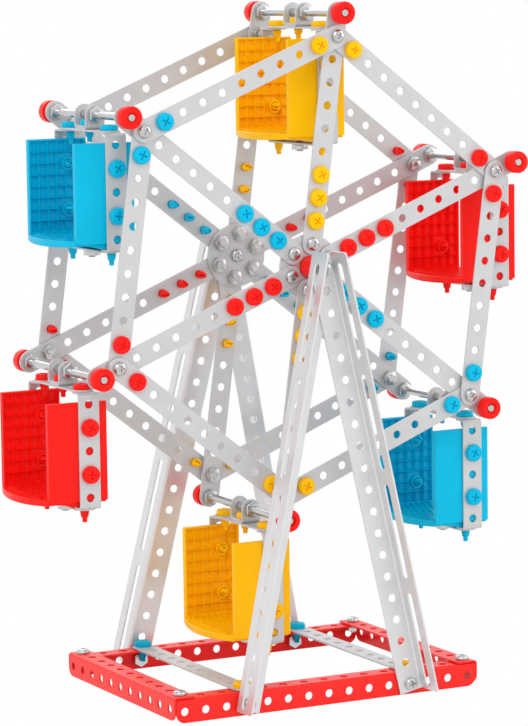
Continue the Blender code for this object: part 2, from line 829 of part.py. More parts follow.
def build_gondolas(root):
    """Six rods with their gondolas, which hang level under the turned wheel."""
    rod, hanger, seat = rod_mesh(), hanger_mesh(), seat_mesh()
    for i, name in enumerate(ARM_NAMES):
        way = radial(math.tau * i / ARMS + WHEEL_TURN)
        at = Vector((0, -WHEEL_FORWARD, hub_height())) + way * ROD_HOLE * PITCH
        hook = empty(f"gondola_{name}_axis", root, Matrix.Translation(at))
        node(f"rod_{name}", rod, "bolt_steel", hook, axes(ACROSS, BACK))
        node(f"hanger_{name}", hanger, "strip_steel", hook, Matrix())
        node(f"seat_{name}", seat, SEAT_FINISHES[i], hook, Matrix())


def corners():
    """All corners of the finished pieces in the world."""
    bpy.context.view_layer.update()
    return [
        made.matrix_world @ vertex.co
        for made in bpy.context.scene.objects
        if made.type == "MESH"
        for vertex in made.data.vertices
    ]


def main():
    for old in list(bpy.data.objects):
        bpy.data.objects.remove(old)
    root = empty("ferris_wheel", None, Matrix())
    build_stand(root)
    turn = Matrix.Rotation(WHEEL_TURN, 4, "Y")
    wheel = empty("wheel_axis", root, Matrix.Translation((0, -WHEEL_FORWARD, hub_height())) @ turn)
    build_wheel(wheel)
    build_gondolas(root)
    points = corners()
    middle = [(min(axis) + max(axis)) / 2 for axis in zip(*points)]
    root.location = (-middle[0], -middle[1], -min(point.z for point in points))


main()
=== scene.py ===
"""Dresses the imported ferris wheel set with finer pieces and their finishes.

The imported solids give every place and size. Each of them is replaced here by a piece that keeps its place.
"""

from __future__ import annotations

import json
import logging
import math
from collections.abc import Iterable, Sequence
from dataclasses import dataclass, field
from enum import Enum
from functools import cached_property

import bmesh
import bpy
from bmesh.types import BMEdge, BMesh, BMFace, BMVert
from mathutils import Matrix, Vector

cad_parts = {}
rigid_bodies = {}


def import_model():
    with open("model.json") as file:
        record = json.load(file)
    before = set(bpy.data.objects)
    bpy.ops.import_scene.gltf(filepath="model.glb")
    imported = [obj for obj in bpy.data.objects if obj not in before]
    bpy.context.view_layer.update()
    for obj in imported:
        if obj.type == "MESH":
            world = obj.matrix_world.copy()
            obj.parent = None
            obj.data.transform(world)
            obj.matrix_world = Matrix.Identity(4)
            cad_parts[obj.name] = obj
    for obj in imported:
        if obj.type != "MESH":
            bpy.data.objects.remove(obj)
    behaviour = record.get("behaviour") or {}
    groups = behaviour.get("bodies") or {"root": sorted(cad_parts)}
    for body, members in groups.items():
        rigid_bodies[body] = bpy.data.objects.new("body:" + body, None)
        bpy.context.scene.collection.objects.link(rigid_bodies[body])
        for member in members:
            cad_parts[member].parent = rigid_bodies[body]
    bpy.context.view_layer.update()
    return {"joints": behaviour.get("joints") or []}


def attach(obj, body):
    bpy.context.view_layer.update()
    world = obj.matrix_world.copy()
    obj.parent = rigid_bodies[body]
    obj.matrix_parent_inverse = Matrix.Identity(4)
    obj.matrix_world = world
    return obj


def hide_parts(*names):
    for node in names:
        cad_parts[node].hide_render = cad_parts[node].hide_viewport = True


LOG = logging.getLogger("ferris_wheel")

MM = 0.001
TINY = 0.001 * MM
QUARTER = math.pi / 2
ACROSS = Vector((1, 0, 0))
BACK = Vector((0, 1, 0))
UP = Vector((0, 0, 1))
TURNED_OVER = Matrix.Rotation(math.pi, 4, "X")
ENDS = (-1, 1)
HANDS = (("left", -1), ("right", 1))
CORNER_STEPS = 8
SMALL_CORNER_STEPS = 4
WHITE = (1, 1, 1, 1)
FLAT_PLACE = "flat_place"
PLACE_SOCKET = "NodeSocketVector"
COLOR_SOCKET = "NodeSocketColor"
NUMBER_SOCKET = "NodeSocketFloat"
Point = tuple[float, float]


class Colour(Enum):
    """The plastic colours of the set, by the record's material slot."""

    RED = "red_plastic"
    YELLOW = "yellow_plastic"
    BLUE = "blue_plastic"


class Arm(Enum):
    """The six arms of the wheel, clockwise from the top, with the colour of their screws and seat."""

    TOP = (0, Colour.YELLOW)
    UPPER_RIGHT = (1, Colour.RED)
    LOWER_RIGHT = (2, Colour.BLUE)
    BOTTOM = (3, Colour.YELLOW)
    LOWER_LEFT = (4, Colour.RED)
    UPPER_LEFT = (5, Colour.BLUE)

    def __init__(self, place: int, colour: Colour) -> None:
        """Keeps the arm's place round the wheel and its colour."""
        self.place = place
        self.colour = colour
        self.label = self.name.lower()

    def following(self) -> "Arm":
        """Returns the next arm clockwise."""
        return list(Arm)[(self.place + 1) % len(Arm)]


class Side(Enum):
    """The two sides of the wheel and of the stand, with their sign along Y."""

    FRONT = -1
    BACK = 1

    def __init__(self, sign: int) -> None:
        """Keeps the side's sign, its label and its outward direction."""
        self.sign = sign
        self.label = self.name.lower()
        self.outward = Vector((0, sign, 0))


# Shader node groups and finishes


class Sketch:
    """Adds nodes to a tree and links them, so that a finish reads as a list of steps."""

    usual_noise: Point = (0.3, 0.7)

    def __init__(self, tree: bpy.types.NodeTree) -> None:
        """Keeps the tree that the nodes go to."""
        self.tree = tree

    def feed(self, socket: bpy.types.NodeSocket, value: object) -> None:
        """Links a socket to another one, or sets its value."""
        if isinstance(value, bpy.types.NodeSocket):
            self.tree.links.new(value, socket)
        else:
            socket.default_value = value

    def fill(self, node: bpy.types.Node, **values: object) -> None:
        """Sets a node's properties, and feeds its inputs by name with underscores for spaces."""
        for name, value in values.items():
            if hasattr(node, name):
                setattr(node, name, value)
            else:
                self.feed(node.inputs[name.replace("_", " ")], value)

    def node(self, kind: str, **values: object) -> bpy.types.Node:
        """Adds a node of a kind and fills it."""
        made = self.tree.nodes.new(kind)
        self.fill(made, **values)
        return made

    def math(self, operation: str, first: object, second: object) -> bpy.types.NodeSocket:
        """Returns the result of a Math node."""
        made = self.node("ShaderNodeMath", operation=operation)
        self.feed(made.inputs[0], first)
        self.feed(made.inputs[1], second)
        return made.outputs[0]

    def noise(self, vector: object, scale: object, detail: float) -> bpy.types.NodeSocket:
        """Returns the value of a noise texture."""
        return self.node("ShaderNodeTexNoise", Vector=vector, Scale=scale, Detail=detail).outputs[0]

    def spread(self, value: object, low: object, high: object) -> bpy.types.NodeSocket:
        """Returns a noise value stretched from its usual range to low and high."""
        least, most = self.usual_noise
        made = self.node(
            "ShaderNodeMapRange", Value=value, From_Min=least, From_Max=most, To_Min=low, To_Max=high
        )
        return made.outputs[0]


class GroupShelf:
    """Builds each shared shader node group once."""

    cloud_detail = 4.0
    grain_detail = 2.0
    scratch_detail = 6.0
    scratch_level = 0.5
    scratch_width = 0.006
    patch_scale = 35.0
    patch_detail = 2.0
    patch_level = 0.56

    def _group(
        self, name: str, inputs: dict[str, object], outputs: dict[str, str]
    ) -> tuple[Sketch, bpy.types.bpy_prop_collection, bpy.types.Node]:
        """Makes an empty group.

        Args:
            name: The group's name.
            inputs: The default of each input, a tuple for a colour and None for a place.
            outputs: The socket type of each output.

        Returns:
            The group's sketch, the sockets that come in and the node that puts out.
        """
        tree = bpy.data.node_groups.new(name, "ShaderNodeTree")
        for label, value in inputs.items():
            kind = COLOR_SOCKET if isinstance(value, tuple) else NUMBER_SOCKET
            if value is None:
                tree.interface.new_socket(label, in_out="INPUT", socket_type=PLACE_SOCKET)
            else:
                tree.interface.new_socket(label, in_out="INPUT", socket_type=kind).default_value = value
        for label, kind in outputs.items():
            tree.interface.new_socket(label, in_out="OUTPUT", socket_type=kind)
        sketch = Sketch(tree)
        return sketch, sketch.node("NodeGroupInput").outputs, sketch.node("NodeGroupOutput")

    @cached_property
    def clouds(self) -> bpy.types.NodeTree:
        """Soft light and dark patches in a colour, with the mask that made them."""
        inputs = {"Vector": None, "Color": (0.5, 0.5, 0.5, 1.0), "Scale": 60.0, "Spread": 0.1}
        outputs = {"Color": COLOR_SOCKET, "Mask": NUMBER_SOCKET}
        sketch, given, out = self._group("soft_clouds", inputs, outputs)
        mask = sketch.noise(given["Vector"], given["Scale"], self.cloud_detail)
        tone = sketch.spread(mask, sketch.math("SUBTRACT", 1.0, given["Spread"]), 1.0)
        toned = sketch.node("ShaderNodeVectorMath", operation="SCALE", Vector=given["Color"], Scale=tone)
        sketch.fill(out, Color=toned.outputs[0], Mask=mask)
        return sketch.tree

    @cached_property
    def grain(self) -> bpy.types.NodeTree:
        """Fine lines along the first axis of the vector, as rolling leaves them on sheet."""
        inputs = {"Vector": None, "Scale": 900.0, "Stretch": 0.03}
        sketch, given, out = self._group("rolled_grain", inputs, {"Height": NUMBER_SOCKET})
        ratio = sketch.node("ShaderNodeCombineXYZ", X=given["Stretch"], Y=1.0, Z=1.0)
        drawn = sketch.node("ShaderNodeVectorMath", operation="MULTIPLY", Vector=given["Vector"])
        sketch.feed(drawn.inputs[1], ratio.outputs[0])
        sketch.fill(out, Height=sketch.noise(drawn.outputs[0], given["Scale"], self.grain_detail))
        return sketch.tree

    @cached_property
    def scuffs(self) -> bpy.types.NodeTree:
        """Sparse thin scratches as a mask."""
        inputs = {"Vector": None, "Scale": 140.0, "Amount": 0.5}
        sketch, given, out = self._group("scuffs", inputs, {"Mask": NUMBER_SOCKET})
        bent = sketch.noise(given["Vector"], given["Scale"], self.scratch_detail)
        middle = sketch.math("SUBTRACT", bent, self.scratch_level)
        thin = sketch.math("LESS_THAN", sketch.math("ABSOLUTE", middle, 0.0), self.scratch_width)
        patches = sketch.noise(given["Vector"], self.patch_scale, self.patch_detail)
        rare = sketch.math("GREATER_THAN", patches, self.patch_level)
        sketch.fill(out, Mask=sketch.math("MULTIPLY", sketch.math("MULTIPLY", thin, rare), given["Amount"]))
        return sketch.tree


def plain_material(name: str) -> tuple[bpy.types.Material, Sketch, bpy.types.Node]:
    """Makes a material and returns it with its sketch and its shader."""
    material = bpy.data.materials.new(name)
    material.use_nodes = True
    return material, Sketch(material.node_tree), material.node_tree.nodes["Principled BSDF"]


@dataclass(frozen=True)
class Finish:
    """A surface: its colour, how it reflects, and how its colour and relief vary."""

    name: str
    slot: str
    color: tuple[float, float, float]
    roughness: float
    metallic: float = 0.0
    coat: float = 0.0
    coat_roughness: float = 0.08
    gloss: float = 0.5
    cloud_scale: float = 60.0
    cloud_spread: float = 0.08
    roughness_spread: float = 0.05
    grain_scale: float = 900.0
    grain_stretch: float = 0.03
    grain_depth: float = 0.05 * MM
    relief: float = 0.1
    scuffs: float = 0.3
    scuff_roughness: float = 0.35
    follows_sheet: bool = False

    def build(self, shelf: GroupShelf) -> bpy.types.Material:
        """Makes the material.

        Args:
            shelf: The shared node groups.

        Returns:
            The material.
        """
        material, sketch, shader = plain_material(self.name)
        place = sketch.node("ShaderNodeTexCoord").outputs["Object"]
        along = place
        if self.follows_sheet:
            along = sketch.node("ShaderNodeAttribute", attribute_name=FLAT_PLACE).outputs["Vector"]
        clouds = sketch.node(
            "ShaderNodeGroup", node_tree=shelf.clouds, Vector=place, Color=(*self.color, 1.0),
            Scale=self.cloud_scale, Spread=self.cloud_spread,
        )
        grain = sketch.node(
            "ShaderNodeGroup", node_tree=shelf.grain, Vector=along, Scale=self.grain_scale,
            Stretch=self.grain_stretch,
        )
        marks = sketch.node("ShaderNodeGroup", node_tree=shelf.scuffs, Vector=place, Amount=self.scuffs)
        smooth = sketch.spread(clouds.outputs["Mask"], self.roughness - self.roughness_spread, self.roughness)
        streak = sketch.spread(grain.outputs["Height"], 0.0, self.roughness_spread)
        worn = sketch.math("MULTIPLY", marks.outputs["Mask"], self.scuff_roughness)
        bump = sketch.node(
            "ShaderNodeBump", Height=grain.outputs["Height"], Strength=self.relief, Distance=self.grain_depth
        )
        sketch.fill(
            shader, Metallic=self.metallic, Coat_Weight=self.coat, Coat_Roughness=self.coat_roughness,
            Specular_IOR_Level=self.gloss, Base_Color=clouds.outputs["Color"], Normal=bump.outputs["Normal"],
            Roughness=sketch.math("ADD", sketch.math("ADD", smooth, streak), worn),
        )
        return material


@dataclass(frozen=True)
class Moulding(Finish):
    """Smooth moulded plastic."""

    roughness: float = 0.34
    gloss: float = 0.12
    cloud_spread: float = 0.05
    grain_scale: float = 1500.0
    grain_stretch: float = 1.0
    relief: float = 0.06


FINISHES: tuple[Finish, ...] = (
    Finish("zinc_strip", "strip_steel", (0.60, 0.60, 0.605), 0.44, metallic=0.35, cloud_spread=0.07,
           relief=0.12, scuffs=0.15, follows_sheet=True),
    Finish("bright_leg", "leg_steel", (0.76, 0.76, 0.765), 0.38, metallic=0.6, cloud_spread=0.06,
           relief=0.10, scuffs=0.1, follows_sheet=True),
    Finish("nickel_bolt", "bright_steel", (0.60, 0.60, 0.60), 0.20, metallic=1.0, relief=0.03),
    Finish("red_enamel", "red_enamel", (0.96, 0.016, 0.011), 0.34, coat=0.08, gloss=0.25, cloud_scale=40.0,
           cloud_spread=0.05, grain_scale=700.0, grain_stretch=1.0, relief=0.08),
    Moulding("red_moulding", Colour.RED.value, (0.96, 0.012, 0.008)),
    Moulding("yellow_moulding", Colour.YELLOW.value, (1.0, 0.53, 0.0)),
    Moulding("blue_moulding", Colour.BLUE.value, (0.0, 0.47, 0.72)),
)


# Mesh tools


def along_outward(along: Vector, outward: Vector, at: Vector | None = None) -> Matrix:
    """Places a piece whose X runs along one direction and whose Z faces another.

    Args:
        along: Direction of the piece's X axis.
        outward: Direction of the piece's Z axis.
        at: Where its origin goes.

    Returns:
        The matrix of that place.
    """
    turn = Matrix((along, outward.cross(along), outward)).transposed()
    return Matrix.Translation(at or Vector()) @ turn.to_4x4()


def radial(angle: float) -> Vector:
    """Direction from the hub at an angle clockwise from the top."""
    return Vector((math.sin(angle), 0, math.cos(angle)))


def added(name: str, data: bpy.types.ID) -> bpy.types.Object:
    """Adds an object to the scene."""
    made = bpy.data.objects.new(name, data)
    bpy.context.scene.collection.objects.link(made)
    return made


def as_mesh(name: str, solid: BMesh) -> bpy.types.Mesh:
    """Turns a bmesh into a mesh and frees it."""
    mesh = bpy.data.meshes.new(name)
    solid.to_mesh(mesh)
    solid.free()
    return mesh


def stamp(solid: BMesh, mould: bpy.types.Mesh, place: Matrix) -> None:
    """Adds a placed copy of a mesh to a solid."""
    copy = mould.copy()
    copy.transform(place)
    solid.from_mesh(copy)
    bpy.data.meshes.remove(copy)


def join(solid: BMesh, other: BMesh, place: Matrix | None = None) -> None:
    """Adds a placed solid to another one and frees it."""
    mould = as_mesh("joined", other)
    stamp(solid, mould, place or Matrix())
    bpy.data.meshes.remove(mould)


def block(size: tuple[float, float, float]) -> BMesh:
    """Block of a size round the origin."""
    solid = bmesh.new()
    bmesh.ops.create_cube(solid, size=1, matrix=Matrix.Diagonal((*size, 1)))
    return solid


def outline(shares: Sequence[Point], radius: float, height: float, seat: float = 0.0) -> list[Point]:
    """Scales a profile of shares, and puts its points of height 0 at the height of a seat."""
    return [(across * radius, up * height if up else seat) for across, up in shares]


def lathe(profile: Sequence[Point], steps: int) -> BMesh:
    """Spins a profile of radius and height about Z into a closed solid.

    Args:
        profile: Radius and height pairs. A first and last radius of 0 close the solid.
        steps: Number of steps round the axis.

    Returns:
        The solid.
    """
    solid = bmesh.new()
    points = [solid.verts.new((radius, 0, height)) for radius, height in profile]
    lines = [solid.edges.new(pair) for pair in zip(points, points[1:])]
    if profile[0][0] and profile[-1][0]:
        lines.append(solid.edges.new((points[-1], points[0])))
    turned = [*points, *lines]
    bmesh.ops.spin(solid, geom=turned, cent=(0, 0, 0), axis=UP, angle=math.tau, steps=steps, use_merge=True)
    bmesh.ops.remove_doubles(solid, verts=solid.verts[:], dist=TINY)
    bmesh.ops.recalc_face_normals(solid, faces=solid.faces[:])
    return solid


def carved(name: str, solid: BMesh, cutters: Iterable[BMesh]) -> bpy.types.Mesh:
    """Cuts solids out of another one.

    Args:
        name: The name of the new mesh.
        solid: What is cut.
        cutters: What is cut out of it.

    Returns:
        The cut mesh.
    """
    body = added(name, as_mesh(name, solid))
    tools = bpy.data.collections.new(name)
    bpy.context.scene.collection.children.link(tools)
    for cutter in cutters:
        tools.objects.link(bpy.data.objects.new(name, as_mesh(name, cutter)))
    cut = body.modifiers.new("cut", "BOOLEAN")
    cut.operation = "DIFFERENCE"
    cut.operand_type = "COLLECTION"
    cut.collection = tools
    graph = bpy.context.evaluated_depsgraph_get()
    mesh = bpy.data.meshes.new_from_object(body.evaluated_get(graph))
    for used in (body, *tools.objects):
        bpy.data.objects.remove(used)
    bpy.data.collections.remove(tools)
    return mesh


def extruded(solid: BMesh, faces: Iterable[BMFace], rise: float, keep: bool = False) -> list[BMVert]:
    """Extrudes faces along Z.

    Args:
        solid: The solid that the faces belong to.
        faces: The faces.
        rise: How far they move.
        keep: Leaves the faces where they were as well.

    Returns:
        The corners that moved.
    """
    made = bmesh.ops.extrude_face_region(solid, geom=list(faces), use_keep_orig=keep)
    moved = [part for part in made["geom"] if isinstance(part, BMVert)]
    bmesh.ops.translate(solid, verts=moved, vec=(0, 0, rise))
    return moved


def cut_across(solid: BMesh, x: float) -> None:
    """Adds edges where a plane across X meets the solid."""
    geometry = [*solid.verts, *solid.edges, *solid.faces]
    bmesh.ops.bisect_plane(solid, geom=geometry, dist=TINY, plane_co=(x, 0, 0), plane_no=ACROSS)


def chamfer(solid: BMesh, edges: Iterable[BMEdge], width: float, segments: int = 1) -> None:
    """Bevels the edges."""
    bmesh.ops.bevel(
        solid, geom=list(edges), offset=width, offset_type="OFFSET", segments=segments, profile=0.5,
        affect="EDGES", clamp_overlap=True, material=-1,
    )


def creases(solid: BMesh, least: float) -> list[BMEdge]:
    """Returns the edges whose faces meet at more than an angle."""
    return [edge for edge in solid.edges if len(edge.link_faces) == 2 and edge.calc_face_angle(0.0) > least]


@dataclass
class Blank:
    """A flat piece of sheet that is drawn, punched, pressed to its thickness and folded."""

    thickness: float = 1.0 * MM
    edge: float = 0.14 * MM
    crease: float = math.radians(80)
    hole_sides: int = 24
    solid: BMesh = field(default_factory=bmesh.new)
    path: list[BMVert] = field(default_factory=list)

    def corner(self, x: float, y: float) -> None:
        """Adds a sharp corner to the outline."""
        self.path.append(self.solid.verts.new((x, y, 0)))

    def bow(self, x: float, y: float, radius: float, start: float, sweep: float, steps: int = 10) -> None:
        """Adds an arc to the outline.

        Args:
            x: X of the arc's centre.
            y: Y of the arc's centre.
            radius: The arc's radius.
            start: Angle of its first point.
            sweep: Angle that it covers.
            steps: Its number of edges.
        """
        first = self.solid.verts.new((x + radius * math.cos(start), y + radius * math.sin(start), 0))
        before = len(self.solid.verts)
        bmesh.ops.spin(self.solid, geom=[first], cent=(x, y, 0), axis=UP, angle=sweep, steps=steps)
        self.solid.verts.ensure_lookup_table()
        self.path += [first, *self.solid.verts[before:]]

    def close(self) -> None:
        """Joins the outline's corners and arcs into a loop."""
        for pair in zip(self.path, self.path[1:] + self.path[:1]):
            if not self.solid.edges.get(pair):
                self.solid.edges.new(pair)
        self.path = []

    def round_ended(self, first: float, last: float, radius: float) -> None:
        """Draws the outline of a strip along X with round ends, by the places of their centres."""
        self.bow(last, 0, radius, -QUARTER, math.pi)
        self.bow(first, 0, radius, QUARTER, math.pi)
        self.close()

    def punch(self, x: float, y: float, radius: float) -> None:
        """Punches a round hole."""
        at = Matrix.Translation((x, y, 0))
        bmesh.ops.create_circle(self.solid, segments=self.hole_sides, radius=radius, matrix=at)

    def slot(self, x: float, low: float, high: float, width: float) -> None:
        """Punches a long hole with round ends along Y."""
        self.bow(x, low + width / 2, width / 2, math.pi, math.pi, CORNER_STEPS)
        self.bow(x, high - width / 2, width / 2, 0, math.pi, CORNER_STEPS)
        self.close()

    def press(self) -> None:
        """Fills the outline round its holes, gives it thickness and breaks its edges."""
        bmesh.ops.triangle_fill(self.solid, use_beauty=True, use_dissolve=False, edges=self.solid.edges[:])
        extruded(self.solid, self.solid.faces, self.thickness)
        bmesh.ops.recalc_face_normals(self.solid, faces=self.solid.faces[:])
        chamfer(self.solid, creases(self.solid, self.crease), self.edge)
        place = self.solid.verts.layers.float_vector.new(FLAT_PLACE)
        for vertex in self.solid.verts:
            vertex[place] = vertex.co

    def fold(self, line: float, radius: float, angle: float, steps: int = 6) -> None:
        """Folds what lies beyond a line across X upwards, or downwards with a negative angle.

        Args:
            line: X at which the bend starts.
            radius: Radius of the bend at the middle of the sheet.
            angle: Angle of the bend.
            steps: Number of facets in the bend.
        """
        run = radius * abs(angle) / steps
        lines = [line + (i + 0.5) * run for i in range(steps)]
        for cut in lines:
            cut_across(self.solid, cut)
        flat = {vertex: vertex.co.x for vertex in self.solid.verts}
        for cut in reversed(lines):
            beyond = [vertex for vertex, x in flat.items() if x > cut + 2 * TINY]
            on_line = [vertex for vertex, x in flat.items() if abs(x - cut) <= 2 * TINY]
            for share, chosen in ((1.0, beyond), (0.5, on_line)):
                turn = Matrix.Rotation(-angle / steps * share, 3, "Y")
                bmesh.ops.rotate(self.solid, cent=(cut, 0, self.thickness / 2), matrix=turn, verts=chosen)


@dataclass
class Bench:
    """Turns finished solids into pieces of the scene and puts them on their bodies."""

    materials: dict[str, bpy.types.Material]
    smooth: float = math.radians(38)
    made: int = 0

    def piece(
        self, name: str, solid: BMesh, place: Matrix, slot: str, body: str, node: str = "", even: bool = False
    ) -> bpy.types.Object:
        """Adds a piece.

        Args:
            name: The piece's name.
            solid: Its shape in its own frame. It is freed.
            place: The matrix of its place.
            slot: The record's material slot.
            body: The body that it rides on.
            node: The CAD node that it stands for, if any.
            even: Weighs normals by area, for large flat faces beside small curved ones.

        Returns:
            The new object.
        """
        solid.transform(place)
        mesh = as_mesh(name, solid)
        mesh.shade_smooth()
        mesh.set_sharp_from_angle(angle=self.smooth)
        mesh.materials.append(self.materials[slot])
        made = added(name, mesh)
        if even:
            made.modifiers.new("even", "WEIGHTED_NORMAL").keep_sharp = True
        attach(made, body)
        if node:
            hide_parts(node)
        self.made += 1
        LOG.info("%s on %s: %d faces", name, body, len(mesh.polygons))
        return made


# Sizes that several sub-assemblies share


@dataclass(frozen=True)
class Layout:
    """The grid of the construction system and the places of the wheel in the stand."""

    origin: Vector
    pitch: float = 12.7 * MM
    sheet: float = 1.0 * MM
    gap: float = 0.3 * MM
    hole: float = 2.3 * MM
    strip_radius: float = 6.1 * MM
    wheel_turn: float = math.radians(7.8)
    disc_inner: float = 43.4 * MM
    leg_inner: float = 57.5 * MM
    forward: float = 7.6 * MM
    base_below: float = 6.2 * MM
    base_above: float = 6.9 * MM
    long_holes: int = 15
    short_holes: int = 11
    foot_pitches: int = 4
    leg_pitches: int = 19
    rod_pitches: int = 11
    bracket_spacing: float = 14.0 * MM
    hanger_top: float = 8.8 * MM
    hanger_height: float = 63.5 * MM

    @property
    def base_height(self) -> float:
        """Height of the base girders."""
        return self.base_below + self.base_above

    @property
    def step(self) -> float:
        """From one sheet's face to the next one's."""
        return self.sheet + self.gap

    def base_half(self, holes: int) -> float:
        """Half the length of a base side."""
        return holes * self.pitch / 2

    def slant(self, side: Side) -> float:
        """How far a leg's inner face moves inwards from the base to the axle."""
        return self.base_half(self.short_holes) + self.gap - self.leg_inner + side.sign * self.forward

    def lean(self, side: Side) -> float:
        """Angle between a side's legs and the upright."""
        return math.atan2(self.slant(side), self.hub_height - self.base_below)

    @property
    def hub_height(self) -> float:
        """Height of the wheel's axis."""
        slant = (self.slant(Side.FRONT) + self.slant(Side.BACK)) / 2
        length = self.leg_pitches * self.pitch
        return self.base_below + math.sqrt(length**2 - (self.foot_pitches * self.pitch) ** 2 - slant**2)

    @property
    def hanger_foot(self) -> float:
        """Depth of the folded foot of a hanger's side strap below its rod."""
        return self.hanger_top + self.hanger_height

    def hole_depth(self, number: int) -> float:
        """Depth of a hole in a hanger's side strap below its rod."""
        return self.hanger_top + (number + 0.5) * self.pitch

    def layer(self, count: float) -> float:
        """Inner face of the sheet that lies this many sheets outside a hub disc."""
        return self.disc_inner + count * self.step

    @property
    def stand(self) -> Matrix:
        """Place of the stand's frame."""
        return Matrix.Translation(self.origin)

    @property
    def axle(self) -> Vector:
        """The wheel's middle, in the stand's frame."""
        return Vector((0, -self.forward, self.hub_height))

    @property
    def wheel(self) -> Matrix:
        """Place of the turned wheel's frame."""
        return self.stand @ Matrix.Translation(self.axle) @ Matrix.Rotation(self.wheel_turn, 4, "Y")

    def rod(self, arm: Arm) -> Matrix:
        """Place of an arm's rod axis, upright."""
        out = radial(math.tau * arm.place / len(Arm) + self.wheel_turn)
        return self.stand @ Matrix.Translation(self.axle + out * self.rod_pitches * self.pitch)


# Fasteners


@dataclass
class Fasteners:
    """Moulds of the set's plastic screws, steel bolts and nuts. Their seat is at height 0."""

    screw_radius: float = 4.9 * MM
    screw_height: float = 3.2 * MM
    screw_length: float = 9.0 * MM
    shank_radius: float = 2.0 * MM
    pan_radius: float = 3.7 * MM
    pan_height: float = 2.6 * MM
    nut_radius: float = 4.6 * MM
    nut_height: float = 3.2 * MM
    nut_rim: float = 0.35 * MM
    nut_corner: float = 0.2 * MM
    nut_crease: float = math.radians(50)
    nut_sides: int = 6
    nut_facets: int = 2
    bolt_end: float = 1.0 * MM
    thread: float = 0.7 * MM
    sink: float = 0.05 * MM
    screw_sides: int = 28
    pan_sides: int = 24
    shank_sides: int = 16
    screw_shares: tuple[Point, ...] = (
        (0, 0), (0.97, 0), (1, 0.08), (1, 0.6), (0.975, 0.78), (0.91, 0.93), (0.8, 1), (0, 1),
    )
    pan_shares: tuple[Point, ...] = (
        (0, 0), (0.97, 0), (1, 0.1), (0.99, 0.42), (0.93, 0.68), (0.8, 0.87), (0.6, 0.97), (0.35, 1), (0, 1),
    )
    tip_shares: tuple[Point, ...] = (
        (0, -1), (0.58, -1), (0.66, -0.97), (0.72, -0.72), (1, -0.68), (1.26, -0.36), (1.24, -0.3),
        (1, -0.25), (1, 0), (0, 0),
    )
    split_shares: tuple[float, ...] = (4, 0.38, 0.9)
    screw_cross_shares: tuple[float, ...] = (1.2, 0.2, 0.6)
    pan_cross_shares: tuple[float, ...] = (1.15, 0.22, 0.8)
    cross_floor_shares: tuple[float, ...] = (0.72, 0.7, 1)
    thread_end_share: float = 0.8
    thread_root_share: float = 0.84
    crest_at_share: float = 0.35
    root_at_share: float = 0.85

    def _crossed(
        self, name: str, shares: Sequence[Point], sizes: Point, cross: Sequence[float], sides: int
    ) -> bpy.types.Mesh:
        """Makes a head with a cross recess in its top.

        Args:
            name: The name of its mesh.
            shares: Its profile, as shares of its radius and height.
            sizes: Its radius and height.
            cross: Reach and width of the cross as shares of the radius, twice its depth as one of the height.
            sides: Its number of sides.

        Returns:
            The head.
        """
        radius, height = sizes
        reach, width, deep = cross
        cutters = []
        for turn in (0, QUARTER):
            cutter = block((radius * reach, radius * width, height * deep))
            low = [vertex for vertex in cutter.verts if vertex.co.z < 0]
            bmesh.ops.scale(cutter, vec=self.cross_floor_shares, verts=low)
            cutter.transform(Matrix.Translation((0, 0, height)) @ Matrix.Rotation(turn, 4, "Z"))
            cutters.append(cutter)
        return carved(name, lathe(outline(shares, radius, height, -self.sink), sides), cutters)

    @cached_property
    def screw_head(self) -> bpy.types.Mesh:
        """Large plastic head with a cross recess."""
        sizes = (self.screw_radius, self.screw_height)
        cross, sides = self.screw_cross_shares, self.screw_sides
        return self._crossed("screw_head", self.screw_shares, sizes, cross, sides)

    @cached_property
    def screw_tip(self) -> bpy.types.Mesh:
        """Tapered plastic shank with a split end, below a head that sits at height 0."""
        radius, length = self.shank_radius, self.screw_length
        reach, width, high = self.split_shares
        split = block((radius * reach, radius * width, length * high))
        split.transform(Matrix.Translation((0, 0, -length)))
        return carved("screw_tip", lathe(outline(self.tip_shares, radius, length), self.shank_sides), [split])

    @cached_property
    def pan_head(self) -> bpy.types.Mesh:
        """Steel pan head with a cross recess."""
        sizes = (self.pan_radius, self.pan_height)
        cross, sides = self.pan_cross_shares, self.pan_sides
        return self._crossed("pan_head", self.pan_shares, sizes, cross, sides)

    @cached_property
    def nut(self) -> bpy.types.Mesh:
        """Hexagon nut with broken corners, above its seat."""
        solid = bmesh.new()
        radius, height = self.nut_radius, self.nut_height
        at = Matrix.Translation((0, 0, height / 2 - self.sink))
        bmesh.ops.create_cone(
            solid, cap_ends=True, segments=self.nut_sides, radius1=radius, radius2=radius, depth=height,
            matrix=at,
        )
        rims = [edge for edge in solid.edges if abs(edge.verts[0].co.z - edge.verts[1].co.z) < self.sink]
        chamfer(solid, rims, self.nut_rim, self.nut_facets)
        uprights = [edge for edge in creases(solid, self.nut_crease) if edge.calc_length() > height / 2]
        chamfer(solid, uprights, self.nut_corner, self.nut_facets)
        return as_mesh("nut", solid)

    def threaded(self, low: float, high: float) -> BMesh:
        """Threaded rod along Z.

        Args:
            low: Height of its lower end.
            high: Height of its upper end.

        Returns:
            The rod.
        """
        turns = max(2, round((high - low) / self.thread))
        pitch = (high - low) / turns
        end, root = self.shank_radius * self.thread_end_share, self.shank_radius * self.thread_root_share
        profile = [(0, low), (end, low)]
        for i in range(turns):
            profile.append((self.shank_radius, low + (i + self.crest_at_share) * pitch))
            profile.append((root, low + (i + self.root_at_share) * pitch))
        return lathe([*profile, (end, high), (0, high)], self.shank_sides)

    @cached_property
    def nut_on_end(self) -> bpy.types.Mesh:
        """Nut with the end of its bolt standing out of it."""
        solid = self.threaded(0, self.nut_height + self.bolt_end)
        stamp(solid, self.nut, Matrix())
        return as_mesh("nut_on_end", solid)

    def screw(self, solid: BMesh, at: Matrix) -> None:
        """Adds a whole plastic screw to a solid."""
        stamp(solid, self.screw_head, at)
        stamp(solid, self.screw_tip, at)


